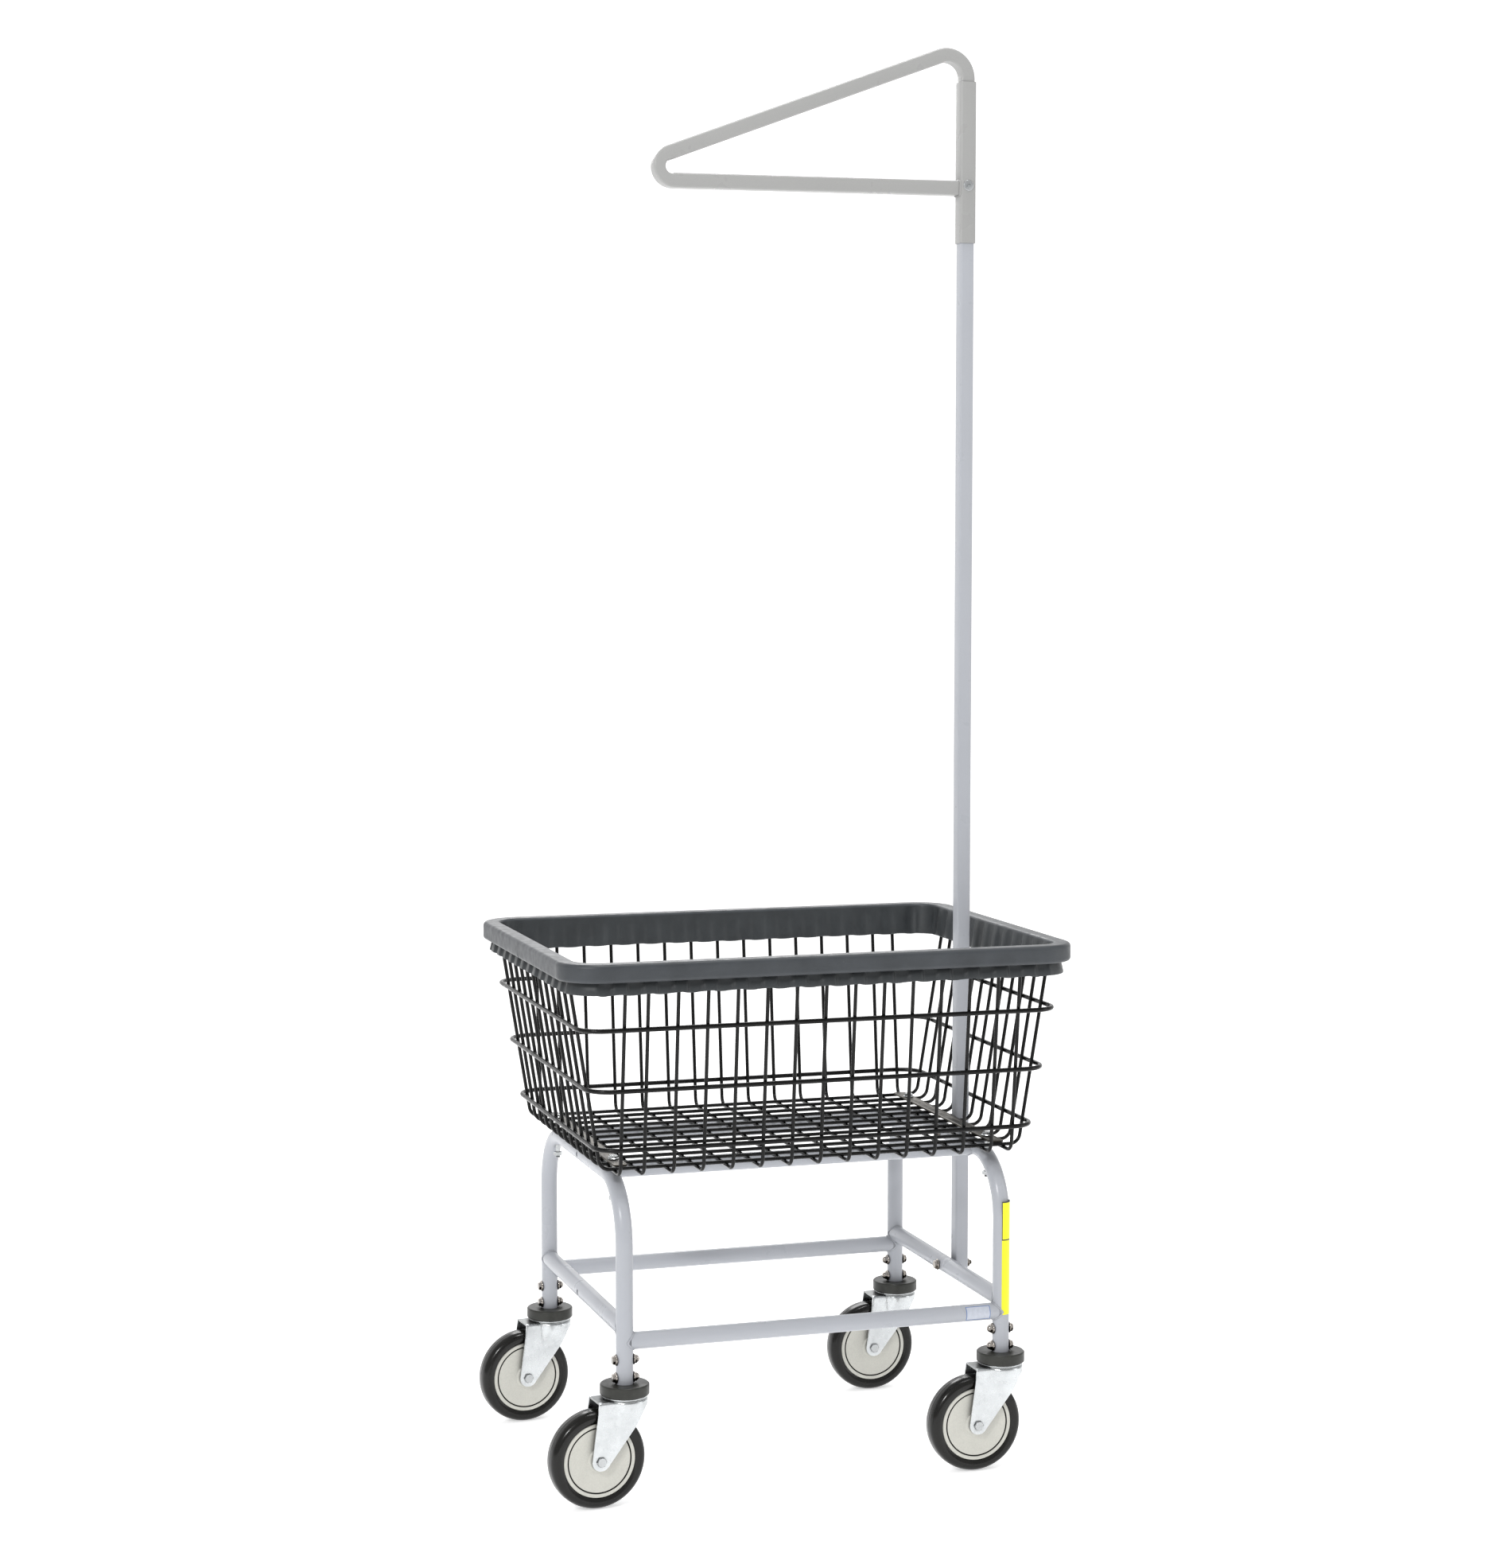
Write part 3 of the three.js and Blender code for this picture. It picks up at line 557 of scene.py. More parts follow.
def core_plastic():
    """Pale warm polyolefin wheel core: speckled, satin, grey handling marks near its edges, and
    strong painted shadow in crevices.
    """
    n = Nodes("core_plastic")
    pale = (0.56, 0.555, 0.505)
    base = n.ramp(n.noise(500, 3, 0.6), (0.35, scaled(pale, 0.9)), (0.65, scaled(pale, 1.06)))
    cloud = n.ramp(n.noise(30, 4), (0.3, scaled(pale, 0.9)), (0.7, scaled(pale, 1.05)))
    base = n.mix(0.5, base, cloud)
    marks = n.ramp(n.noise(90, 6, 0.75), (0.62, 0.0), (0.8, 0.5))
    base = n.mix(marks, base, scaled(pale, 0.66))
    base = n.mix(n.wear(), base, scaled(pale, 0.8))
    # Painted shadow: much darker where the fork plates and the groove crowd in.
    base = n.mix(n.crevice_shade(0.011, 0.95), base, scaled(pale, 0.12))
    rough = n.ramp(n.noise(60, 3), (0.3, 0.34), (0.7, 0.5))
    skin = n.bump(n.noise(800, 2), 0.1, 0.0002)
    return n.finish(base, rough, skin, ior=1.5)


def plated(name, colour, rough_low, rough_high, tarnish_and_shade, stretch=(1, 1, 1), under=0.0):
    """Plated or bare steel: painted cloudy reflections, fine drawn lines, tarnished stains and
    bright edges, with painted shade on downward faces and in crevices.
    """
    n = Nodes(name)
    base = n.ramp(n.noise(35, 4), (0.3, scaled(colour, 0.88)), (0.7, scaled(colour, 1.06)))
    stains = n.ramp(n.noise(120, 6, 0.7), (0.55, 0.0), (0.8, 0.75))
    base = n.mix(stains, base, tarnish_and_shade)
    base = n.mix(n.wear(), base, scaled(colour, 1.18))
    # Painted shade and painted dark reflection: faces that look down darken towards the dark stain
    # colour.
    base = n.mix(n.underside_shade(under), base, tarnish_and_shade)
    # Painted shade: darker still where other surfaces crowd in.
    base = n.mix(n.crevice_shade(0.008, 0.9), base, scaled(tarnish_and_shade, 0.35))
    rough = n.ramp(n.noise(90, 5, 0.6), (0.3, rough_low), (0.75, rough_high))
    lines = n.bump(n.noise(500, 3, 0.6, n.stretched(stretch)), 0.12, 0.0002)
    dents = n.bump(n.noise(45, 2), 0.06, 0.001, lines)
    return n.finish(base, rough, dents, metallic=1.0)


def sticker_film(name, colour, rough):
    """Printed film: a flat ink colour with a slight mottle, under a glossy laminate."""
    n = Nodes(name)
    base = n.ramp(n.noise(260, 4), (0.3, scaled(colour, 0.93)), (0.7, scaled(colour, 1.04)))
    wrinkles = n.bump(n.noise(90, 2), 0.08, 0.0006)
    rough_out = n.ramp(n.noise(150, 3), (0.3, rough), (0.7, rough + 0.12))
    return n.finish(base, rough_out, wrinkles, coat_weight=0.15, coat_roughness=0.15)


MATERIALS = {
    "silver_paint": enamel("silver_paint", (0.402, 0.416, 0.449), 0.03),
    "warm_paint": enamel("warm_paint", (0.345, 0.345, 0.34), 0.06),
    "black_vinyl": dipped_vinyl(),
    "rim_plastic": rim_plastic("rim_plastic", (0.045, 0.05, 0.056)),
    "bumper_rubber": rubber("bumper_rubber", (0.03, 0.031, 0.027), 0.3, 0.5, 0.05),
    "tyre_rubber": rubber("tyre_rubber", (0.008, 0.0077, 0.0068), 0.14, 0.28, 0.06),
    "core_plastic": core_plastic(),
    "zinc": plated("zinc", (0.6, 0.62, 0.63), 0.2, 0.4, (0.42, 0.44, 0.45), (1, 1, 0.2)),
    # Nickel: downward faces get full painted shade and painted dark reflection (under=1.0).
    "nickel": plated("nickel", (0.55, 0.51, 0.47), 0.1, 0.24, (0.07, 0.06, 0.05), under=1.0),
    "bare_steel": plated(
        "bare_steel", (0.09, 0.082, 0.07), 0.3, 0.5, (0.06, 0.05, 0.04), (1, 0.1, 1)
    ),
}
# A darker copy of the rim plastic: painted shade for the skirt under the band's overhang.
SHADED_RIM_SKIRT = rim_plastic("rim_skirt_shaded", (0.03, 0.034, 0.037))
# A darker zinc: painted shade and painted dark reflection on the fork's crown plate and race cup
# under the bumper.
SHADED_ZINC = plated("shaded_zinc", (0.3, 0.31, 0.31), 0.25, 0.45, (0.12, 0.12, 0.12))
# Bolt zinc: downward faces get painted shade and painted dark reflection (under=0.6).
BOLT_ZINC = plated("bolt_zinc", (0.6, 0.62, 0.63), 0.12, 0.3, (0.2, 0.2, 0.2), under=0.6)
DARK_GROOVE = rubber("groove_shadow", (0.012, 0.012, 0.012), 0.4, 0.6, 0.0)
YELLOW_FILM = sticker_film("yellow_film", (0.9, 0.86, 0.001), 0.3)
BLACK_INK = sticker_film("black_ink", (0.02, 0.02, 0.02), 0.3)
PALE_FILM = sticker_film("pale_film", (0.5, 0.53, 0.6), 0.3)
BLUE_INK = sticker_film("blue_ink", (0.12, 0.2, 0.42), 0.3)


# ---- frame tubes
HOLE_RADIUS = 3.6
TUBE_SIDES = 40
WELD_THICK = 1.5
WELD_STEPS = 72
RAIL_INSET = TUBE * 0.55
TOP_RAIL_Y = abs(middle("top_rail_front").y)
LOWER_RAIL_Z = middle("lower_rail_front").z
SIDE_RAIL_Z = middle("lower_rail_left").z
STRAP_BOLT_Y = abs(middle("strap_bolt_left_front").y)


def hollow(build, stations, normal, outer, inner, shape=None):
    """A tube between an outer and an inner section, with open, square-cut ends."""
    for i in (0, -1):
        point, way = stations[i]
        side = way.cross(normal).normalized()
        rim = [[point + normal * u + side * v for u, v in ring] for ring in (outer, inner)]
        build.rings(rim if i == -1 else rim[::-1], caps=False)
    sweep(build, stations, normal, outer, caps=False, shape=shape)
    inside = Build()
    sweep(inside, stations, normal, inner, caps=False, shape=shape)
    build.add(inside.verts, [face[::-1] for face in inside.faces])


def round_tube(build, stations, normal):
    outer, inner = circle(TUBE, TUBE_SIDES), circle(TUBE - TUBE_WALL, TUBE_SIDES)
    hollow(build, stations, normal, outer, inner)


def merge_close(obj):
    weld = obj.modifiers.new("weld", "WELD")
    weld.merge_threshold = 1e-6
    apply_modifiers(obj)


def end_frame(name, side):
    x = LEG_X[side]
    corners = [(x, -LEG_Y, LEG_BOTTOM), (x, -LEG_Y, FRAME_TOP)]
    corners += [(x, LEG_Y, FRAME_TOP), (x, LEG_Y, LEG_BOTTOM)]
    build = Build()
    round_tube(build, bent(corners, [FRAME_BEND, FRAME_BEND], 24), X)
    obj = fine(f"end_frame_{name}", build)
    merge_close(obj)
    holes = Build()
    rod(holes, (x - 2 * TUBE, 0, FRAME_TOP), (x + 2 * TUBE, 0, FRAME_TOP), HOLE_RADIUS)
    carve(obj, holes)
    place(obj, f"end_frame_{name}")


def bead_ring(spot, way, radial, long, short):
    return [spot + way * math.cos(b) * long + radial * math.sin(b) * short for b in turns(8)]


def weld_bead(build, leg, way):
    """A fillet bead where a tube running along way meets the upright or level tube at leg."""
    across = Z if abs(way.z) < 0.5 else X
    axis = Z if abs(way.z) < 0.5 else Y
    side = way.cross(axis).normalized()
    rings = []
    for i, a in enumerate(turns(WELD_STEPS)):
        u, v = math.cos(a), math.sin(a)
        out = math.sqrt(max(0.0, 1 - v * v * 0.985)) * TUBE
        ripple = 0.25 * math.sin(i * 1.9) + 0.15 * math.sin(i * 0.7)
        spot = leg + way * (out + 0.3) + (across * u + side * v) * (TUBE + 0.2)
        radial = (across * u + side * v).normalized()
        long, short = WELD_THICK + ripple, WELD_THICK * 0.7 + ripple * 0.5
        rings.append(bead_ring(spot, way, radial, long, short))
    build.rings(rings, closed=True)


def rail(node, start, end, normal, hole=None):
    """A rail whose ends run into the legs' walls, with a weld bead at each end."""
    start, end = Vector(start), Vector(end)
    way = (end - start).normalized()
    build = Build()
    round_tube(build, [(start + way * RAIL_INSET, way), (end - way * RAIL_INSET, way)], normal)
    obj = fine(node, build)
    merge_close(obj)
    if hole:
        drill = Build()
        rod(drill, Vector(hole) - X * 2 * TUBE, Vector(hole) + X * 2 * TUBE, HOLE_RADIUS)
        carve(obj, drill)
    place(obj, node)
    beads = Build()
    weld_bead(beads, start, way)
    weld_bead(beads, end, -way)
    bead_obj = new_object(f"{node}_weld_beads", beads, [MATERIALS["silver_paint"]])
    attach(bead_obj, "root")


def frame_tubes():
    for name, side in SIDES.items():
        end_frame(name, side)
        ends = [(LEG_X[side], y, SIDE_RAIL_Z) for y in (-LEG_Y, LEG_Y)]
        rail(f"lower_rail_{name}", *ends, Z, (LEG_X[side], 0, SIDE_RAIL_Z))
    for name, y in (("front", -1), ("rear", 1)):
        rail(f"lower_rail_{name}", *[(LEG_X[i], y * LEG_Y, LOWER_RAIL_Z) for i in (-1, 1)], Z)
        rail(f"top_rail_{name}", *[(LEG_X[i], y * TOP_RAIL_Y, FRAME_TOP) for i in (-1, 1)], Y)


frame_tubes()


# ---- basket wires
RING_BOXES = {level: box_mm(f"basket_ring_{level}") for level in ("lower", "middle", "upper")}
RING_RADIUS = 3.0
RIM_WIRE_RADIUS = 3
WIRE_RADIUS = 2.4
WELD_DEPTH = 0.35
CAD_WIRE = 2.25
CAD_RING = 2.75
CAD_GAP = 0.3
CROSS_PITCH, CROSS_COUNT, CROSS_END = 39.3, 13, 266
LENGTH_PITCH, LENGTH_COUNT = 34.5, 12
WIRE_CORNER = 36
RING_CORNER = 33
WIRE_BEND = 14
CROSS_Z = FRAME_LEFT[1].z + CAD_GAP + CAD_WIRE
LENGTH_Z = CROSS_Z + 2 * WIRE_RADIUS - WELD_DEPTH
WIRE_TOP = box_mm("basket_front_wires")[1].z - CAD_RING
RING_OFFSET = RING_RADIUS + WIRE_RADIUS - WELD_DEPTH


def ring_half(level, axis):
    low, high = RING_BOXES[level]
    return (high[axis] - low[axis]) / 2


def ring_height(level):
    low, high = RING_BOXES[level]
    return (low.z + high.z) / 2


def wall(z, axis):
    """Half the distance between the walls' wires at a height, from the lower and upper rings."""
    low_z, high_z = ring_height("lower"), ring_height("upper")
    low, high = ring_half("lower", axis), ring_half("upper", axis)
    ring_reach = CAD_WIRE + CAD_GAP + 2 * CAD_RING
    return low + (high - low) * (z - low_z) / (high_z - low_z) - ring_reach


def corner_inset(along, half_along):
    past = max(0.0, abs(along) - (half_along - WIRE_CORNER))
    return WIRE_CORNER - math.sqrt(WIRE_CORNER**2 - past**2)


def spread(pitch, count):
    return [(i - (count - 1) / 2) * pitch for i in range(count)]


def trough_wire(build, along, axis):
    """One U-shaped wire: down one wall, under the load and up the other wall. axis 0 runs in X."""
    other = 1 - axis
    low_z = LENGTH_Z if axis == 0 else CROSS_Z
    top = wall(WIRE_TOP, axis) - corner_inset(along, wall(WIRE_TOP, other))
    base = wall(low_z, axis) - corner_inset(along, wall(LENGTH_Z, other))

    def at(reach, z):
        return (CENTRE_X + reach, along, z) if axis == 0 else (CENTRE_X + along, reach, z)

    corners = [at(-top, WIRE_TOP), at(-base, low_z), at(base, low_z), at(top, WIRE_TOP)]
    normal = Y if axis == 0 else X
    sweep(build, bent(corners, [WIRE_BEND, WIRE_BEND], 8), normal, circle(WIRE_RADIUS, 14))


def loop_wire(build, half_x, half_y, corner, z, radius, count=14):
    rings = []
    for point, outward in level_loop(half_x, half_y, corner, 7):
        centre = point + X * CENTRE_X + Z * z
        rings.append([centre + outward * u + Z * v for u, v in circle(radius, count)])
    build.rings(rings, closed=True)


def basket_wires():
    cross = Build()
    for x in [*spread(CROSS_PITCH, CROSS_COUNT), -CROSS_END, CROSS_END]:
        trough_wire(cross, x, 1)
    top_x, top_y = wall(WIRE_TOP, 0), wall(WIRE_TOP, 1)
    loop_wire(cross, top_x, top_y, WIRE_CORNER, WIRE_TOP, RIM_WIRE_RADIUS)
    cross_obj = new_object("cross_wires_fine", cross, [MATERIALS["black_vinyl"]])
    place(cross_obj, "basket_front_wires", "basket_rear_wires")
    length = Build()
    for y in spread(LENGTH_PITCH, LENGTH_COUNT):
        trough_wire(length, y, 0)
    length_obj = new_object("length_wires_fine", length, [MATERIALS["black_vinyl"]])
    place(length_obj, "basket_floor_and_end_wires")
    for level in RING_BOXES:
        z = ring_height(level)
        ring = Build()
        reach_x, reach_y = wall(z, 0) + RING_OFFSET, wall(z, 1) + RING_OFFSET
        loop_wire(ring, reach_x, reach_y, RING_CORNER, z, RING_RADIUS, 18)
        ring_obj = new_object(f"ring_{level}_fine", ring, [MATERIALS["black_vinyl"]])
        place(ring_obj, f"basket_ring_{level}")


basket_wires()


# ---- rim bumper
RIM_LOW, RIM_HIGH = box_mm("rim_bumper")
RIM_HALF_X = (RIM_HIGH.x - RIM_LOW.x) / 2
RIM_HALF_Y = (RIM_HIGH.y - RIM_LOW.y) / 2
RIM_CORNER = 54
SKIRT_PLEAT = 2.0
FLANGE_PLEAT = 1.8
SKIRT_SHARPNESS = 3.2
FLANGE_SHARPNESS = 1.3
HEM_WAVE = 1.5
SEAM_MIDDLE_Y = 2


def rim_section():
    """Points as (inset, drop, skirt pleat, flange pleat, hem), from the top outward and round.

    The outer band overhangs a skirt that flares out below it. The inner flange leans with the
    wall.
    The second value is how many of the strips between points belong to the top and the band.
    """
    band = [(x, y, 0, 0, 0) for x, y in arc((5.5, 5.5), 5.5, 270, 180, 7)]
    band += [(0.0, 11, 0, 0, 0), (0.0, 18, 0, 0, 0)]
    band += [(x, y, 0, 0, 0) for x, y in arc((4.2, 19.6), 4.2, 180, 90, 5)]
    skirt = [(8, 23.9, 0, 0, 0), (12, 23.4, 0.2, 0, 0), (12.9, 24.2, 0.6, 0, 0)]
    skirt += [(12.4, 26.5, 1, 0, 0), (11, 32, 1, 0, 0.2), (9.4, 38.6, 1, 0, 1)]
    skirt += [(9.7, 39.6, 1, 0, 1), (10.6, 39.7, 1, 0, 1), (11.2, 38.8, 1, 0, 1)]
    skirt += [(12.8, 32, 1, 0, 0.2), (14.3, 25, 0.6, 0, 0), (14, 22, 0, 0, 0)]
    inside = [(8, 21, 0, 0, 0), (3.2, 19, 0, 0, 0), (2.6, 12, 0, 0, 0), (3.4, 4.6, 0, 0, 0)]
    inside += [(5, 3.2, 0, 0, 0), (18, 3.0, 0, 0, 0)]
    flange = [(20.8, 5, 0, 0, 0), (22.5, 15, 0, 0.8, 0), (24.6, 28, 0, 1, 0.2)]
    flange += [(26.4, 39, 0, 1, 0.8), (26.9, 41.6, 0, 1, 1), (27.8, 42.4, 0, 1, 1)]
    flange += [(28.6, 41.6, 0, 1, 1), (28.3, 39, 0, 1, 0.8)]
    flange += [(26.9, 30, 0, 1, 0.2), (24.9, 16, 0, 0.9, 0), (23.4, 7, 0, 0.4, 0)]
    top = [(x, y, 0, 0, 0) for x, y in arc((19.4, 3.8), 3.8, -10, -90, 5)]
    top += [(13, -0.3, 0, 0, 0)]
    return top + band + skirt + inside + flange, len(top + band) - 1


def pleat(point, sharpness):
    """Near 1 at a wall wire behind the plastic, near -1 between wires and 0 in the corners."""
    x, y = point.x, point.y
    flat_x, flat_y = RIM_HALF_X - RIM_CORNER, RIM_HALF_Y - RIM_CORNER
    along_x = abs(y) - flat_y > abs(x) - flat_x
    past = (abs(x) - flat_x if along_x else abs(y) - flat_y) / (RIM_CORNER * 0.4)
    fade = 1 - min(max(past, 0.0), 1.0)
    phase = x / CROSS_PITCH if along_x else y / LENGTH_PITCH + 0.5
    wave = math.tanh(sharpness * math.cos(2 * math.pi * phase)) / math.tanh(sharpness)
    return wave * fade


def rim_ring(point, outward, section):
    skirt_wave = pleat(point, SKIRT_SHARPNESS)
    flange_wave = pleat(point, FLANGE_SHARPNESS)
    sway = 0.3 * math.sin(point.x * 0.021 + 1.0) + 0.25 * math.sin(point.y * 0.027)
    ring = []
    for inset, drop, skirt, flange, hem in section:
        inset += FLANGE_PLEAT * flange * flange_wave - SKIRT_PLEAT * skirt * skirt_wave
        fall = max(drop + hem * (HEM_WAVE * (0.2 - 0.5 * flange_wave) + sway), 0)
        ring.append(point - outward * inset + Z * (RIM_HIGH.z - fall) + X * CENTRE_X)
    return ring


def rim_bumper():
    section, band_strips = rim_section()
    count = len(section)
    stations = level_loop(RIM_HALF_X, RIM_HALF_Y, RIM_CORNER, 1.7)
    build = Build()
    build.rings([rim_ring(point, outward, section) for point, outward in stations], closed=True)
    # Faces past the top and band take the darker skirt copy: painted shade.
    build.marks = [int(i % count >= band_strips) for i in range(len(build.faces))]
    looks = [MATERIALS["rim_plastic"], SHADED_RIM_SKIRT]
    obj = new_object("rim_bumper_fine", build, looks, math.radians(50))
    carve(obj, seam_cut())
    place(obj, "rim_bumper")


def seam_cut():
    """Where the extrusion's ends meet: a hairline that opens into a V at the band's foot."""
    cut = Build()
    outline = [(-0.25, 3), (-0.25, 14), (-2.2, 27), (3.6, 27), (0.25, 15), (0.25, 3)]
    for x in (RIM_LOW.x - 3, RIM_LOW.x + 1.6):
        cut.verts.extend(Vector((x, SEAM_MIDDLE_Y + y, RIM_HIGH.z - drop)) for y, drop in outline)
    count = len(outline)
    cut.faces = [[i, (i + 1) % count, count + (i + 1) % count, count + i] for i in range(count)]
    cut.faces += [list(reversed(range(count))), [count + i for i in range(count)]]
    cut.marks = [0] * len(cut.faces)
    return cut


rim_bumper()


# ---- fasteners
BOLT_SHANK = 3.0
BOLT_SMOOTH = math.radians(32)
FLANGE_EDGE, FLANGE_TOP, FLANGE_SEAT = 1.3, 2.4, 2.1
THREAD_PITCH = 1.1


def hex_head(build, matrix, radius, height, flange=0.0, dome=0.0):
    """A hexagon standing on z = 0, chamfered, with an optional washer flange and cap dome."""
    base = 0.0
    if flange:
        profile = [(0, 0), (flange, 0), (flange, FLANGE_EDGE)]
        profile += [(radius, FLANGE_TOP), (0, FLANGE_TOP)]
        lathe(build, rounded_profile(profile, 0.4), 40, matrix)
        base = FLANGE_SEAT
    top = base + height
    prism = [(0, base), (radius, base), (radius, top - 0.9), (radius * 0.84, top), (0, top)]
    lathe(build, prism, 6, matrix)
    crown = [(0, top - 0.5), (radius * 0.8, top - 0.5), (radius * 0.8, top + 0.12), (0, top + 0.12)]
    lathe(build, crown, 32, matrix)
    if dome:
        cap = dome_profile(radius * 0.82, top - 0.6, dome, (0, 0.35, 0.7, 1.05, 1.35))
        lathe(build, [(0, top - 0.6), *cap, (0, top - 0.6 + dome)], 32, matrix)


def dome_profile(radius, base, height, angles):
    return [(radius * math.cos(a), base + height * math.sin(a)) for a in angles]


def threads(build, matrix, radius, start, end):
    """A threaded tip: a row of small ridges on the shank."""
    profile = [(0, start)]
    z = start
    while z < end - THREAD_PITCH:
        profile += [(radius, z), (radius * 0.84, z + THREAD_PITCH / 2)]
        z += THREAD_PITCH
    profile += [(radius, z), (radius * 0.8, end), (0, end)]
    lathe(build, profile, 20, matrix)


def fastener(node, look, way, head_at, nut_at, head, nut, tip=0.0):
    """A bolt through a joint: head and nut are (radius, height, flange, dome)."""
    build = Build()
    hex_head(build, pointing(-way, head_at), *head)
    hex_head(build, pointing(way, nut_at), *nut)
    rod(build, head_at, nut_at, BOLT_SHANK)
    if tip:
        length = nut[1] + 1.2
        threads(build, pointing(way, nut_at), BOLT_SHANK, length - 0.5, length + tip)
    place(fine(node, build, [look], BOLT_SMOOTH), node)


def leg_bolts():
    """Flanged heads outside the cart and cap nuts inside."""
    head, nut = (5.8, 3.4, 7.3, 0), (5.9, 3.2, 7.2, 3.8)
    for corner in CORNERS:
        leg = middle(f"bumper_disc_{corner}")
        inward = X if "left" in corner else -X
        for level in ("lower", "upper"):
            node = f"leg_bolt_{level}_{corner}"
            spot = Vector((leg.x, leg.y, middle(node).z))
            reach = inward * (TUBE - 0.3)
            fastener(node, MATERIALS["nickel"], inward, spot - reach, spot + reach, head, nut)


def strap_and_pole_bolts():
    head, nut = (6.2, 3.0, 7.6, 0), (6.2, 4.6, 0, 0)
    for name in SIDES:
        for end in ("front", "rear"):
            node = f"strap_bolt_{name}_{end}"
            low, high = box_mm(node)
            spot = middle(node)
            head_at = Vector((spot.x, spot.y, high.z - 4.4))
            nut_at = Vector((spot.x, spot.y, low.z + 6.8))
            fastener(node, BOLT_ZINC, -Z, head_at, nut_at, head, nut, 2.0)
    head, nut = (6.2, 3.4, 7.4, 0), (6.0, 3.8, 0, 0)
    for level in ("lower", "upper"):
        node = f"pole_bolt_{level}"
        low, high = box_mm(node)
        spot = middle(node)
        head_at = Vector((low.x + 4.2, 0, spot.z))
        nut_at = Vector((high.x - 6.8, 0, spot.z))
        fastener(node, MATERIALS["nickel"], X, head_at, nut_at, head, nut, 2.4)


leg_bolts()
strap_and_pole_bolts()


# ---- hold-down straps
def hold_down_straps():
    for name in SIDES:
        node = f"hold_down_strap_{name}"
        low, high = box_mm(node)
        spot, half = (low + high) / 2, (high - low) / 2
        outline = rounded_box(half.x, half.y, half.x * 0.55, 6)
        build = Build()
        build.rings([[(spot.x + x, spot.y + y, z) for x, y in outline] for z in (low.z, high.z)])
        obj = fine(node, build)
        holes = Build()
        for y in (-STRAP_BOLT_Y, STRAP_BOLT_Y):
            rod(holes, (spot.x, y, low.z - 3), (spot.x, y, high.z + 3), HOLE_RADIUS)
        carve(obj, holes)
        soften(obj, 0.4)
        place(obj, node)


hold_down_straps()


# ---- hanging pole
POLE_LOW, POLE_HIGH = box_mm("pole")
POLE_X = (POLE_LOW.x + POLE_HIGH.x) / 2
POLE_SIDE = POLE_HIGH.x - POLE_LOW.x
SLEEVE_LOW, SLEEVE_HIGH = box_mm("hanger_sleeve")
SLEEVE_SIDE = SLEEVE_HIGH.x - SLEEVE_LOW.x
ARM_LOW = box_mm("hanger_arm")[0]
POLE_WALL = 1.5
POLE_CORNER = 2.6
SLEEVE_WALL = 1.4
SLEEVE_CORNER = 3.2
SQUARE_INNER_CORNER = 1.2
SHOULDER = Vector((POLE_X, 0, 1890.6))
SHOULDER_RADIUS = 30
NOSE_FROM_CENTRE = -237
NOSE_Z = 1695.8
NOSE_RADIUS = 18.3
ARM_END_Z = 1701.5


def square_tube(node, stations, side, wall, corner, shape=None):
    build = Build()
    inner = rounded_square(side - 2 * wall, SQUARE_INNER_CORNER)
    hollow(build, stations, Y, rounded_square(side, corner), inner, shape)
    obj = fine(node, build)
    merge_close(obj)
    return obj


def upright(low, high):
    return [(Vector((POLE_X, 0, z)), Z) for z in (low.z, high.z)]


def pole():
    stations = upright(POLE_LOW, POLE_HIGH)
    place(square_tube("pole", stations, POLE_SIDE, POLE_WALL, POLE_CORNER), "pole")


def sleeve():
    stations = upright(SLEEVE_LOW, SLEEVE_HIGH)
    obj = square_tube("hanger_sleeve", stations, SLEEVE_SIDE, SLEEVE_WALL, SLEEVE_CORNER)
    soften(obj, 0.35, 50, 1)
    place(obj, "hanger_sleeve")


def crush(first, last, amount):
    """How far each station of a tight bend is squeezed across, 0 to amount."""
    def at(i):
        if not first <= i <= last:
            return 0.0
        return amount * math.sin(math.pi * (i - first) / (last - first)) ** 0.6
    return at


def hanger_arm():
    steps = 20
    end_x = SLEEVE_LOW.x
    corners = [
        (POLE_X, 0, ARM_LOW.z + 100), tuple(SHOULDER),
        (CENTRE_X + NOSE_FROM_CENTRE, 0, NOSE_Z), (end_x, 0, ARM_END_Z),
    ]
    stations = bent(corners, [SHOULDER_RADIUS, NOSE_RADIUS], steps)
    first = crush(1, steps + 1, 0.12)
    second = crush(steps + 2, 2 * steps + 2, 0.26)

    def shape(i, u, v):
        squeeze = first(i) + second(i)
        dent = squeeze * (POLE_SIDE / 2 + 3 * (1 - (u / (POLE_SIDE / 2)) ** 2))
        return u * (1 + squeeze * 0.25), v - dent if v > 0 else v + dent * 0.15

    obj = square_tube("hanger_arm", stations, POLE_SIDE, POLE_WALL, POLE_CORNER, shape)
    place(obj, "hanger_arm")
    bead = Build()
    loop = rounded_square(POLE_SIDE + 1.4, POLE_CORNER + 0.7, 6)
    rings = []
    for i, (u, v) in enumerate(loop):
        radial = Vector((0, u, v)).normalized()
        ripple = 0.2 * math.sin(i * 2.3)
        centre = Vector((end_x - 0.2, u, ARM_END_Z + v))
        long, short = 1.6 + ripple, 1.1 + ripple
        rings.append(bead_ring(centre, X, radial, long, short))
    bead.rings(rings, closed=True)
    bead_obj = new_object("hanger_weld_bead", bead, [MATERIALS["warm_paint"]])
    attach(bead_obj, "root")


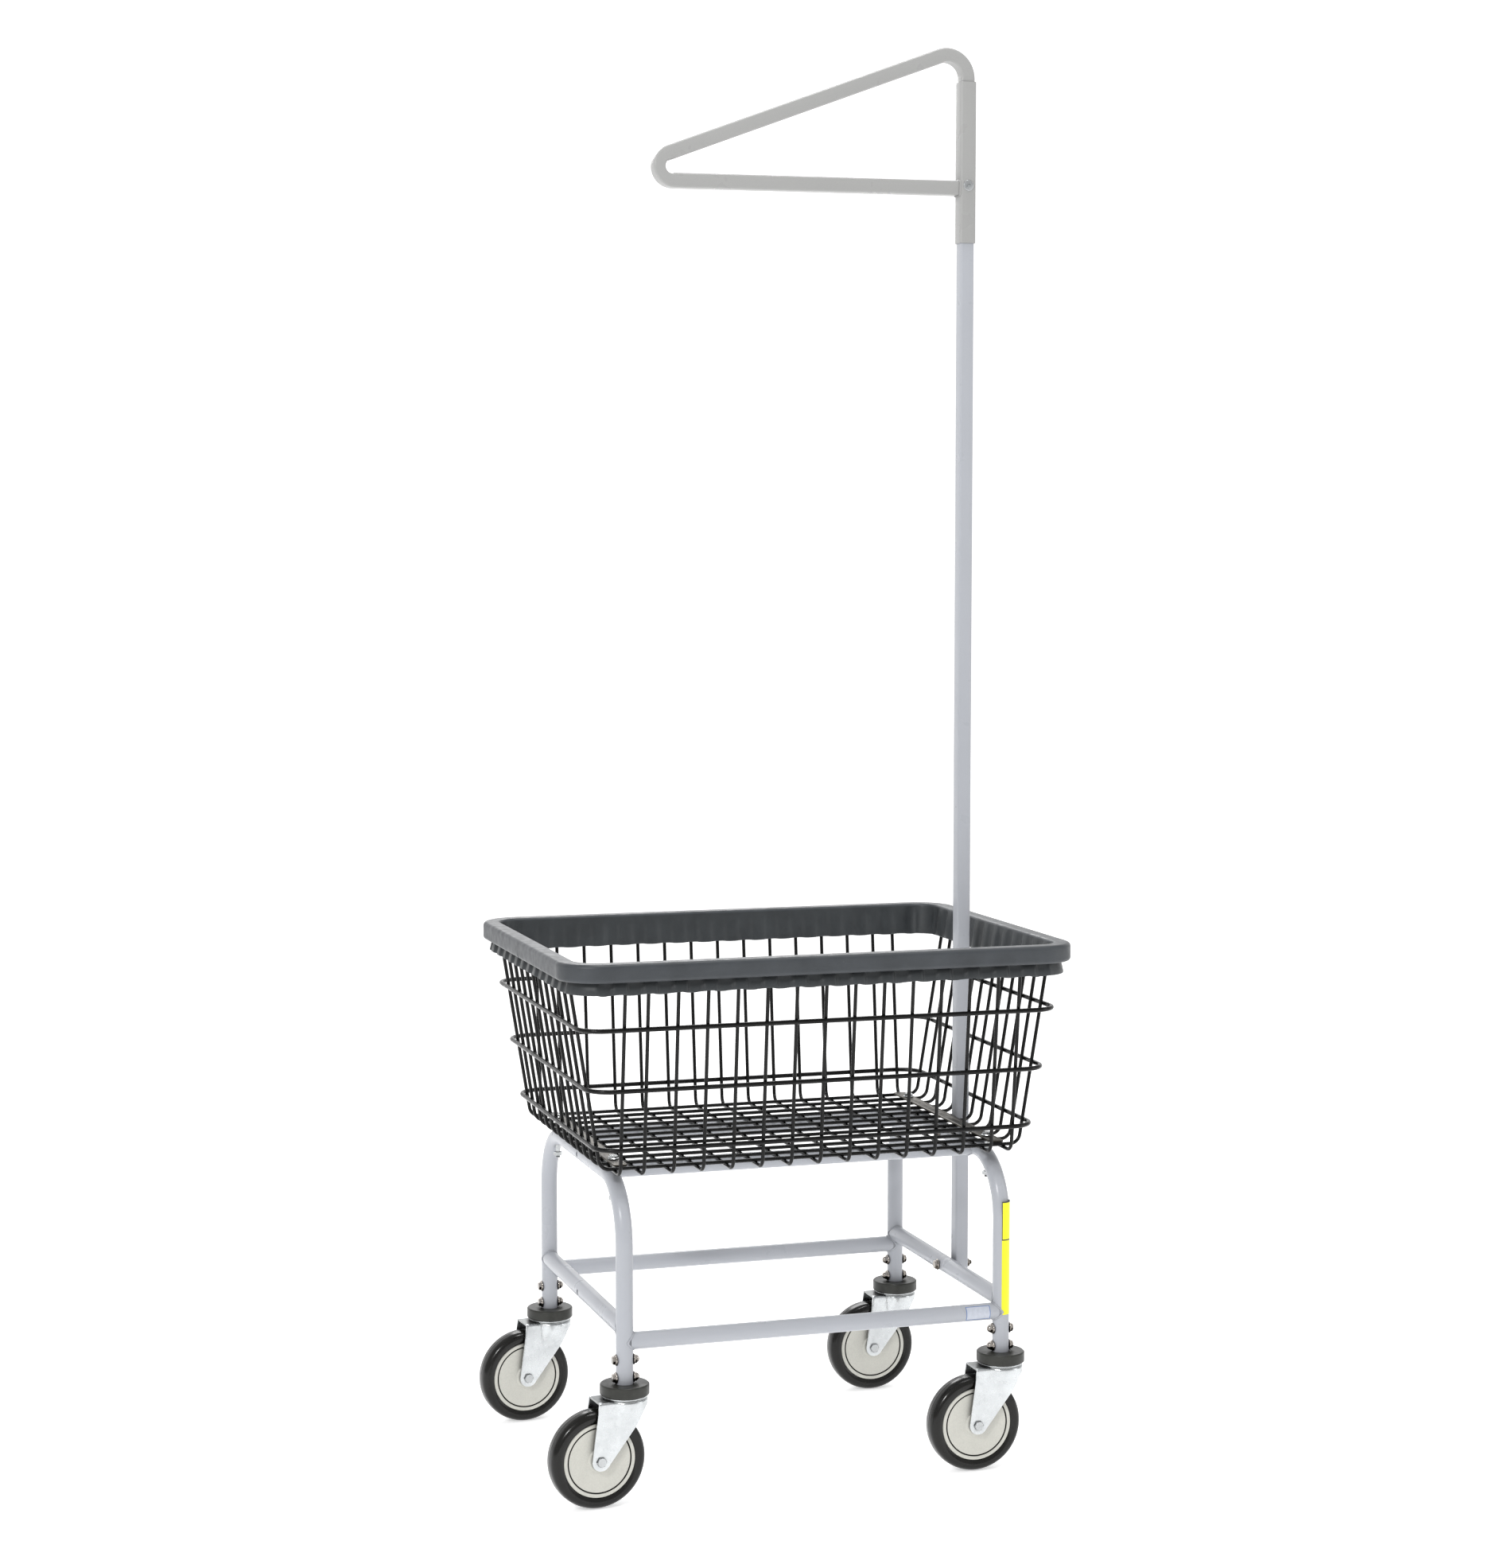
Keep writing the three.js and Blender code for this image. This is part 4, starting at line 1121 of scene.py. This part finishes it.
def sleeve_screw():
    """A round-headed screw with a washer and a cross recess."""
    spot = Vector((middle("hanger_screw").x, SLEEVE_LOW.y, middle("hanger_screw").z))
    build = Build()
    matrix = pointing(-Y, spot)
    lathe(build, rounded_profile([(0, 0), (7.2, 0), (7.2, 0.8), (0, 1.0)], 0.3), 40, matrix)
    head = dome_profile(5.2, 0.9, 3.0, (0, 0.25, 0.5, 0.75, 1.0, 1.25, 1.45))
    lathe(build, [(0, 0.6), (5.2, 0.6), *head, (0, 3.9)], 40, matrix)
    obj = fine("hanger_screw", build, [MATERIALS["zinc"]], math.radians(40))
    for turn in (0, math.pi / 2):
        recess = Build()
        spin = matrix @ Matrix.Rotation(turn + 0.5, 4, "Z")
        corners = [(-2.6, -0.55), (2.6, -0.55), (2.6, 0.55), (-2.6, 0.55)]
        recess.rings([[spin @ Vector((x, y, z)) for x, y in corners] for z in (2.4, 6)])
        carve(obj, recess)
    place(obj, "hanger_screw")


pole()
sleeve()
hanger_arm()
sleeve_screw()


# ---- casters
FORK_INSIDE = 18
FORK_PLATE = 2.5
RACE_HEIGHT = 0.8
RUNNING_GAP = 0.3
FORK_TOP = box_mm("fork_front_left")[1].z - RACE_HEIGHT
FOLD = 3
HEAD = 29.6
EYE = 12.1
FORK_STEPS = 26
RACE_BORE = 6.6
RACE_EDGE = 28.2


def caster_matrix(corner):
    """Takes a caster drawn about Z, trailing to -X, to its leg, turned as its wheel axle is."""
    leg = Vector(JOINTS[f"swivel_{corner}"]["pos_m"]) / MM
    axle = JOINTS[f"roll_{corner}"]["axis"]
    yaw = math.atan2(-axle[0], axle[1])
    return Matrix.Translation((leg.x, leg.y, 0)) @ Matrix.Rotation(yaw, 4, "Z")


def trail_of(corner):
    leg = Vector(JOINTS[f"swivel_{corner}"]["pos_m"])
    wheel = Vector(JOINTS[f"roll_{corner}"]["pos_m"])
    return (wheel - leg).xy.length / MM, wheel.z / MM


def bumper_disc(corner):
    node = f"bumper_disc_{corner}"
    low, high = box_mm(node)
    radius = (high.x - low.x) / 2
    spot = (low + high) / 2
    matrix = Matrix.Translation((spot.x, spot.y, 0))
    legroom = TUBE + 0.15
    profile = [
        (9, low.z), (radius - 1, low.z), (radius, low.z + 1), (radius, high.z - 1.6),
        (radius - 1.6, high.z - 0.3), (legroom + 3, high.z - 0.5), (legroom + 1.6, high.z - 0.9),
        (legroom, high.z - 0.9), (legroom, high.z - 6), (9, high.z - 6), (9, low.z),
    ]
    place(turned(node, rounded_profile(profile, 0.9, 4), 80, matrix), node)


def caster_stem(corner):
    node = f"caster_stem_{corner}"
    low, high = box_mm(node)
    spot = middle(f"bumper_disc_{corner}")
    matrix = Matrix.Translation((spot.x, spot.y, 0))
    race_top = box_mm(f"bumper_disc_{corner}")[0].z - RUNNING_GAP
    race_foot = FORK_TOP + RACE_HEIGHT + RUNNING_GAP
    profile = [
        (0, low.z), (7.4, low.z + 0.2), (8.4, low.z + 1.2), (8.4, low.z + 2), (6, low.z + 2),
        (6, race_foot), (26.8, race_foot), (29.6, race_foot + 0.4), (29.6, race_top - 0.5),
        (29, race_top), (8.6, race_top), (8.6, high.z - 1), (7.6, high.z), (0, high.z),
    ]
    place(turned(node, rounded_profile(profile, 0.5, 3), 64, matrix), node)


def fork_edges(z, trail, axle_z):
    """Where a fork plate starts at the rear and ends at the front, at a height."""
    fall = min(abs(axle_z - z), EYE)
    round_reach = math.sqrt(EYE**2 - fall**2)
    join_z, join_x = axle_z - EYE / 2, -trail + EYE * math.sqrt(0.75)
    front_line = [(join_z, join_x), (106.4, 9.5), (117, 13.8), (125, 17.5)]
    front_line += [(129, 21), (132, 26), (134, HEAD)]
    rear_line = [(axle_z, -trail - EYE), (100, -trail - 7.2), (FORK_TOP, -trail - 2)]
    front = interpolate(front_line, z) if z > join_z else -trail + round_reach
    rear = interpolate(rear_line, z) if z > axle_z else -trail - round_reach
    return rear, front


def interpolate(points, at):
    for (a, start), (b, end) in zip(points, points[1:]):
        if at <= b:
            return start + (end - start) * max(0.0, at - a) / (b - a)
    return points[-1][1]


def ease(value, low, high):
    t = min(max((value - low) / (high - low), 0.0), 1.0)
    return t * t * (3 - 2 * t)


def plate_reach(x, z):
    """How far a fork plate's outer face is from the middle: flat below, round at the head."""
    outer = FORK_INSIDE + FORK_PLATE
    round_reach = math.sqrt(max(HEAD**2 - x * x, 0.0))
    return outer + (round_reach - outer) * ease(z, 104, 131) * ease(x, -19, -13)


def plate_ring(z, inset, trail, axle_z, side):
    """One fork plate's outline at a height: its outer face forward, its inner face back."""
    rear, front = fork_edges(z, trail, axle_z)
    outer_face = []
    for k in range(FORK_STEPS + 1):
        x = rear + (front - rear) * math.sin(math.pi / 2 * k / FORK_STEPS)
        outer_face.append(Vector((x, plate_reach(x, z), 0)))
    ways = [(b - a).normalized() for a, b in zip(outer_face, outer_face[1:])]
    ways = [ways[0], *[(a + b).normalized() for a, b in zip(ways, ways[1:])], ways[-1]]
    inwards = [Vector((way.y, -way.x, 0)) for way in ways]
    outside = [p + n * inset for p, n in zip(outer_face, inwards)]
    inside = [p + n * (FORK_PLATE + inset) for p, n in zip(outer_face, inwards)]
    inside[-1].y = min(inside[-1].y, outside[-1].y)
    ring = outside + inside[::-1]
    return [Vector((p.x, side * max(p.y, 0.02), z)) for p in ring]


def fork_plate(build, trail, axle_z, side):
    foot = axle_z - EYE
    heights = [foot + EYE * (1 - math.cos(math.pi / 2 * k / 8)) for k in range(1, 9)]
    fold_z = FORK_TOP - FOLD
    heights += [axle_z + (fold_z - axle_z) * k / FORK_STEPS for k in range(1, FORK_STEPS + 1)]
    levels = [(z, 0.0) for z in heights]
    for a in (0.3, 0.6, 0.9, 1.2, math.pi / 2):
        levels.append((fold_z + FOLD * math.sin(a), FOLD * (1 - math.cos(a))))
    rings = [plate_ring(z, inset, trail, axle_z, side) for z, inset in levels]
    build.rings(rings if side < 0 else [ring[::-1] for ring in rings])


def fork(corner):
    """Pressed fork: a round head with a crown plate, and two tapering plates for the wheel; crown
    and race cup in darker zinc as painted shade.
    """
    node = f"fork_{corner}"
    trail, axle_z = trail_of(corner)
    plates = []
    for side in (-1, 1):
        build = Build()
        fork_plate(build, trail, axle_z, side)
        build.marks = [1] * len(build.faces)
        plate = new_object("plate", build, [SHADED_ZINC, MATERIALS["zinc"]])
        soften(plate, 0.35, 50, 2)
        plates.append(plate)
    crown = Build()
    outline = plate_ring(FORK_TOP, FOLD, trail, axle_z, -1)[:FORK_STEPS + 1]
    outline += [Vector((p.x, -p.y, p.z)) for p in reversed(outline)]
    faces = (FORK_TOP - FORK_PLATE, FORK_TOP - 0.02)
    crown.rings([[Vector((p.x, p.y, z)) for p in outline] for z in faces])
    obj = fine(node, crown, [SHADED_ZINC, MATERIALS["zinc"]])
    bore = Build()
    rod(bore, (0, 0, FORK_TOP - 9), (0, 0, FORK_TOP + 9), RACE_BORE)
    carve(obj, bore)
    foot, race_top = FORK_TOP - 1, FORK_TOP + RACE_HEIGHT
    race = [(RACE_BORE, foot), (RACE_EDGE, foot), (RACE_EDGE, race_top - 0.3)]
    race += [(RACE_EDGE - 0.3, race_top), (RACE_BORE, race_top)]
    cup = Build()
    lathe(cup, race, 64, closed=True)
    join_objects(obj, [*plates, new_object("cup", cup, [SHADED_ZINC])])
    obj.data.transform(scaled_matrix(caster_matrix(corner)))
    place(obj, node)


def scaled_matrix(matrix):
    """The same placement for a mesh that is already in metres."""
    out = matrix.copy()
    out.translation = out.translation * MM
    return out


def join_objects(obj, others):
    """Adds the others' meshes to obj's mesh and removes them."""
    joined = bpy.data.meshes.new(obj.name)
    verts, faces, marks = [], [], []
    for source in [obj, *others]:
        first = len(verts)
        verts.extend(v.co.copy() for v in source.data.vertices)
        faces.extend([first + i for i in p.vertices] for p in source.data.polygons)
        marks.extend(p.material_index for p in source.data.polygons)
    joined.from_pydata(verts, [], faces)
    for material in obj.data.materials:
        joined.materials.append(material)
    joined.polygons.foreach_set("material_index", marks)
    obj.data = joined
    finish_mesh(joined)
    for source in others:
        bpy.data.objects.remove(source)


def axle_bolt(corner):
    node = f"axle_bolt_{corner}"
    trail, axle_z = trail_of(corner)
    outer = FORK_INSIDE + FORK_PLATE
    build = Build()
    axle = Vector((-trail, 0, axle_z))
    hex_head(build, pointing(-Y, axle - Y * outer), 6.6, 3.2)
    hex_head(build, pointing(Y, axle + Y * outer), 6.8, 4.6)
    threads(build, pointing(Y, axle + Y * outer), 3.8, 4.4, 7.4)
    rod(build, axle - Y * outer, axle + Y * outer, 4)
    build.moved(caster_matrix(corner))
    place(fine(node, build, [BOLT_ZINC], BOLT_SMOOTH), node)


def wheel_matrix(corner):
    """Takes a wheel turned about Z to its place on the axle."""
    trail, axle_z = trail_of(corner)
    upright = Matrix.Rotation(math.pi / 2, 4, "X")
    return caster_matrix(corner) @ Matrix.Translation((-trail, 0, axle_z)) @ upright


WHEEL_RADIUS = 63.5
CORE_RADIUS = 48
GROOVE_INSIDE, GROOVE_OUTSIDE, GROOVE_FACE = 41.3, 43.15, 13.3


def tyre(corner):
    node = f"tyre_{corner}"
    crown = [(CORE_RADIUS + 0.1, 12.2), (CORE_RADIUS + 0.6, 13.4), (50.5, 14.4), (53.5, 15.3)]
    crown += [(56.5, 15.4), (59.2, 14.2), (61.3, 12), (62.6, 9.2), (63.2, 6.2)]
    crown += [(WHEEL_RADIUS - 0.04, 3), (WHEEL_RADIUS, 0.35), (WHEEL_RADIUS + 0.1, 0)]
    profile = crown + [(r, -w) for r, w in reversed(crown[:-1])]
    place(turned(node, profile, 128, wheel_matrix(corner), closed=True), node)


def core_face():
    """One face of the wheel core as (radius, distance from the middle), from the rim inward."""
    return [
        (CORE_RADIUS, 11.6), (CORE_RADIUS, 13.2), (47.4, 13.9), (46.4, 14.1), (43.4, 13.8),
        (43.1, 13.4), (43.0, 10.4), (41.5, 10.4), (41.4, 13.2), (41.0, 13.5), (36, 13.4),
        (26, 12.9), (19, 12.9), (16, 13.6), (14.6, 15.0), (13.2, 15.8), (9, 16.3), (8.6, 16.9),
        (6.2, 16.9), (4.3, 16.9),
    ]


def wheel_core(corner):
    node = f"wheel_core_{corner}"
    face = core_face()
    profile = face + [(r, -w) for r, w in reversed(face)]
    matrix = wheel_matrix(corner)
    looks = [MATERIALS["core_plastic"], DARK_GROOVE]
    obj = turned(node, profile, 96, matrix, True, looks, math.radians(28))
    for polygon in obj.data.polygons:
        local = matrix.inverted() @ (polygon.center / MM)
        if GROOVE_INSIDE < local.xy.length < GROOVE_OUTSIDE and abs(local.z) < GROOVE_FACE:
            polygon.material_index = 1
    place(obj, node)


for corner_name in CORNERS:
    bumper_disc(corner_name)
    caster_stem(corner_name)
    fork(corner_name)
    axle_bolt(corner_name)
    tyre(corner_name)
    wheel_core(corner_name)


# ---- stickers
STICKER_LIFT = 0.12
FILM_THICK = 0.1
LEG_STICKER, LEG_STICKER_FRAME = (206.5, 358), (306, 358)
RAIL_STICKER = (205, 239)


def curved_patch(name, origin, ways, span, reach, frame, materials, line, steps, rows):
    """A film wrapped on a tube. A printed line edges the stretch between the frame's two ends.

    ways are the tube's direction, the direction of angle zero and the one a quarter turn on.
    span is the middle and half the width in degrees, and reach the two ends along the tube.
    """
    axis, zero, across = ways
    (low, high), (bottom, top) = reach, frame
    centre_angle, half_angle = math.radians(span[0]), math.radians(span[1])
    build = Build()
    radius = TUBE + STICKER_LIFT
    edge = line / radius
    angles = [centre_angle + half_angle * (2 * k / steps - 1) for k in range(steps + 1)]
    angles += [centre_angle - half_angle + edge, centre_angle + half_angle - edge]
    angles = sorted(set(angles))
    levels = {low + (high - low) * k / rows for k in range(rows + 1)}
    levels = sorted(levels | {bottom, bottom + line, top - line, top})
    for t in levels:
        spot = origin + axis * t
        build.verts += [spot + (zero * math.cos(a) + across * math.sin(a)) * radius for a in angles]
    count = len(angles)
    for i in range(len(levels) - 1):
        for j in range(count - 1):
            mid_t = (levels[i] + levels[i + 1]) / 2
            on_side = j == 0 or j == count - 2
            on_line = on_side or mid_t < bottom + line or mid_t > top - line
            a = i * count + j
            build.faces.append([a, a + 1, a + 1 + count, a + count])
            build.marks.append(int(bottom < mid_t < top and on_line))
    obj = new_object(name, build, materials)
    solid = obj.modifiers.new("film", "SOLIDIFY")
    solid.thickness = FILM_THICK * MM
    solid.offset = 0
    apply_modifiers(obj)
    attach(obj, "root")


def stickers():
    leg = middle("bumper_disc_front_right")
    origin = Vector((leg.x, leg.y, 0))
    looks = [YELLOW_FILM, BLACK_INK]
    span, frame_span = LEG_STICKER, LEG_STICKER_FRAME
    curved_patch("leg_sticker", origin, (Z, X, Y), (-43, 64), span, frame_span, looks, 1.6, 28, 60)
    start, span = Vector((CENTRE_X, -LEG_Y, LOWER_RAIL_Z)), RAIL_STICKER
    looks = [PALE_FILM, BLUE_INK]
    curved_patch("rail_sticker", start, (X, -Y, Z), (8, 50), span, span, looks, 1.0, 20, 20)


stickers()


# ---- floor, backdrop and light
def stage_material():
    n = Nodes("studio_floor")
    base = n.ramp(n.noise(0.8, 3), (0.3, 0.86), (0.7, 0.88))
    return n.finish(base, 0.7, emission_strength=0.52, emission_color=(1, 1, 1, 1))


def add_stage():
    """A floor that curves up into a backdrop far behind the cart."""
    build = Build()
    reach, back, bend, height = 30000, 16000, 6000, 14000
    profile = [(-14000, 0), (back - bend, 0)]
    profile += arc((back - bend, bend), bend, -90, 0, 16)[1:]
    profile += [(back, height)]
    rows = [[Vector((x, y, z)) for x in (-reach, reach)] for y, z in profile]
    verts = [v for row in rows for v in row]
    faces = [(2 * i, 2 * i + 1, 2 * i + 3, 2 * i + 2) for i in range(len(rows) - 1)]
    build.add(verts, faces)
    obj = new_object("studio_floor", build, [stage_material()])


def area_light(name, spot, target, size, power):
    data = bpy.data.lights.new(name, "AREA")
    data.shape = "RECTANGLE"
    data.size, data.size_y = size
    data.energy = power
    light = bpy.data.objects.new(name, data)
    light.location = spot
    light.rotation_euler = (Vector(target) - Vector(spot)).to_track_quat("-Z", "Y").to_euler()
    SCENE.collection.objects.link(light)


def add_lights():
    world = bpy.data.worlds.new("studio")
    SCENE.world = world
    world.use_nodes = True
    background = world.node_tree.nodes["Background"]
    background.inputs["Color"].default_value = (1, 1, 1, 1)
    background.inputs["Strength"].default_value = 0.55
    area_light("key_left", (-3.0, -2.8, 3.0), (0, 0, 0.8), (0.7, 0.7), 85)
    area_light("top", (0.2, -0.2, 4.4), (0, 0, 0.6), (0.9, 1.4), 62)
    area_light("fill_right", (3.4, -1.6, 1.5), (0, 0, 0.7), (1.0, 2.4), 16)
    area_light("back", (0.6, 3.6, 2.8), (0, 0, 0.8), (2.0, 1.2), 40)


add_stage()
add_lights()
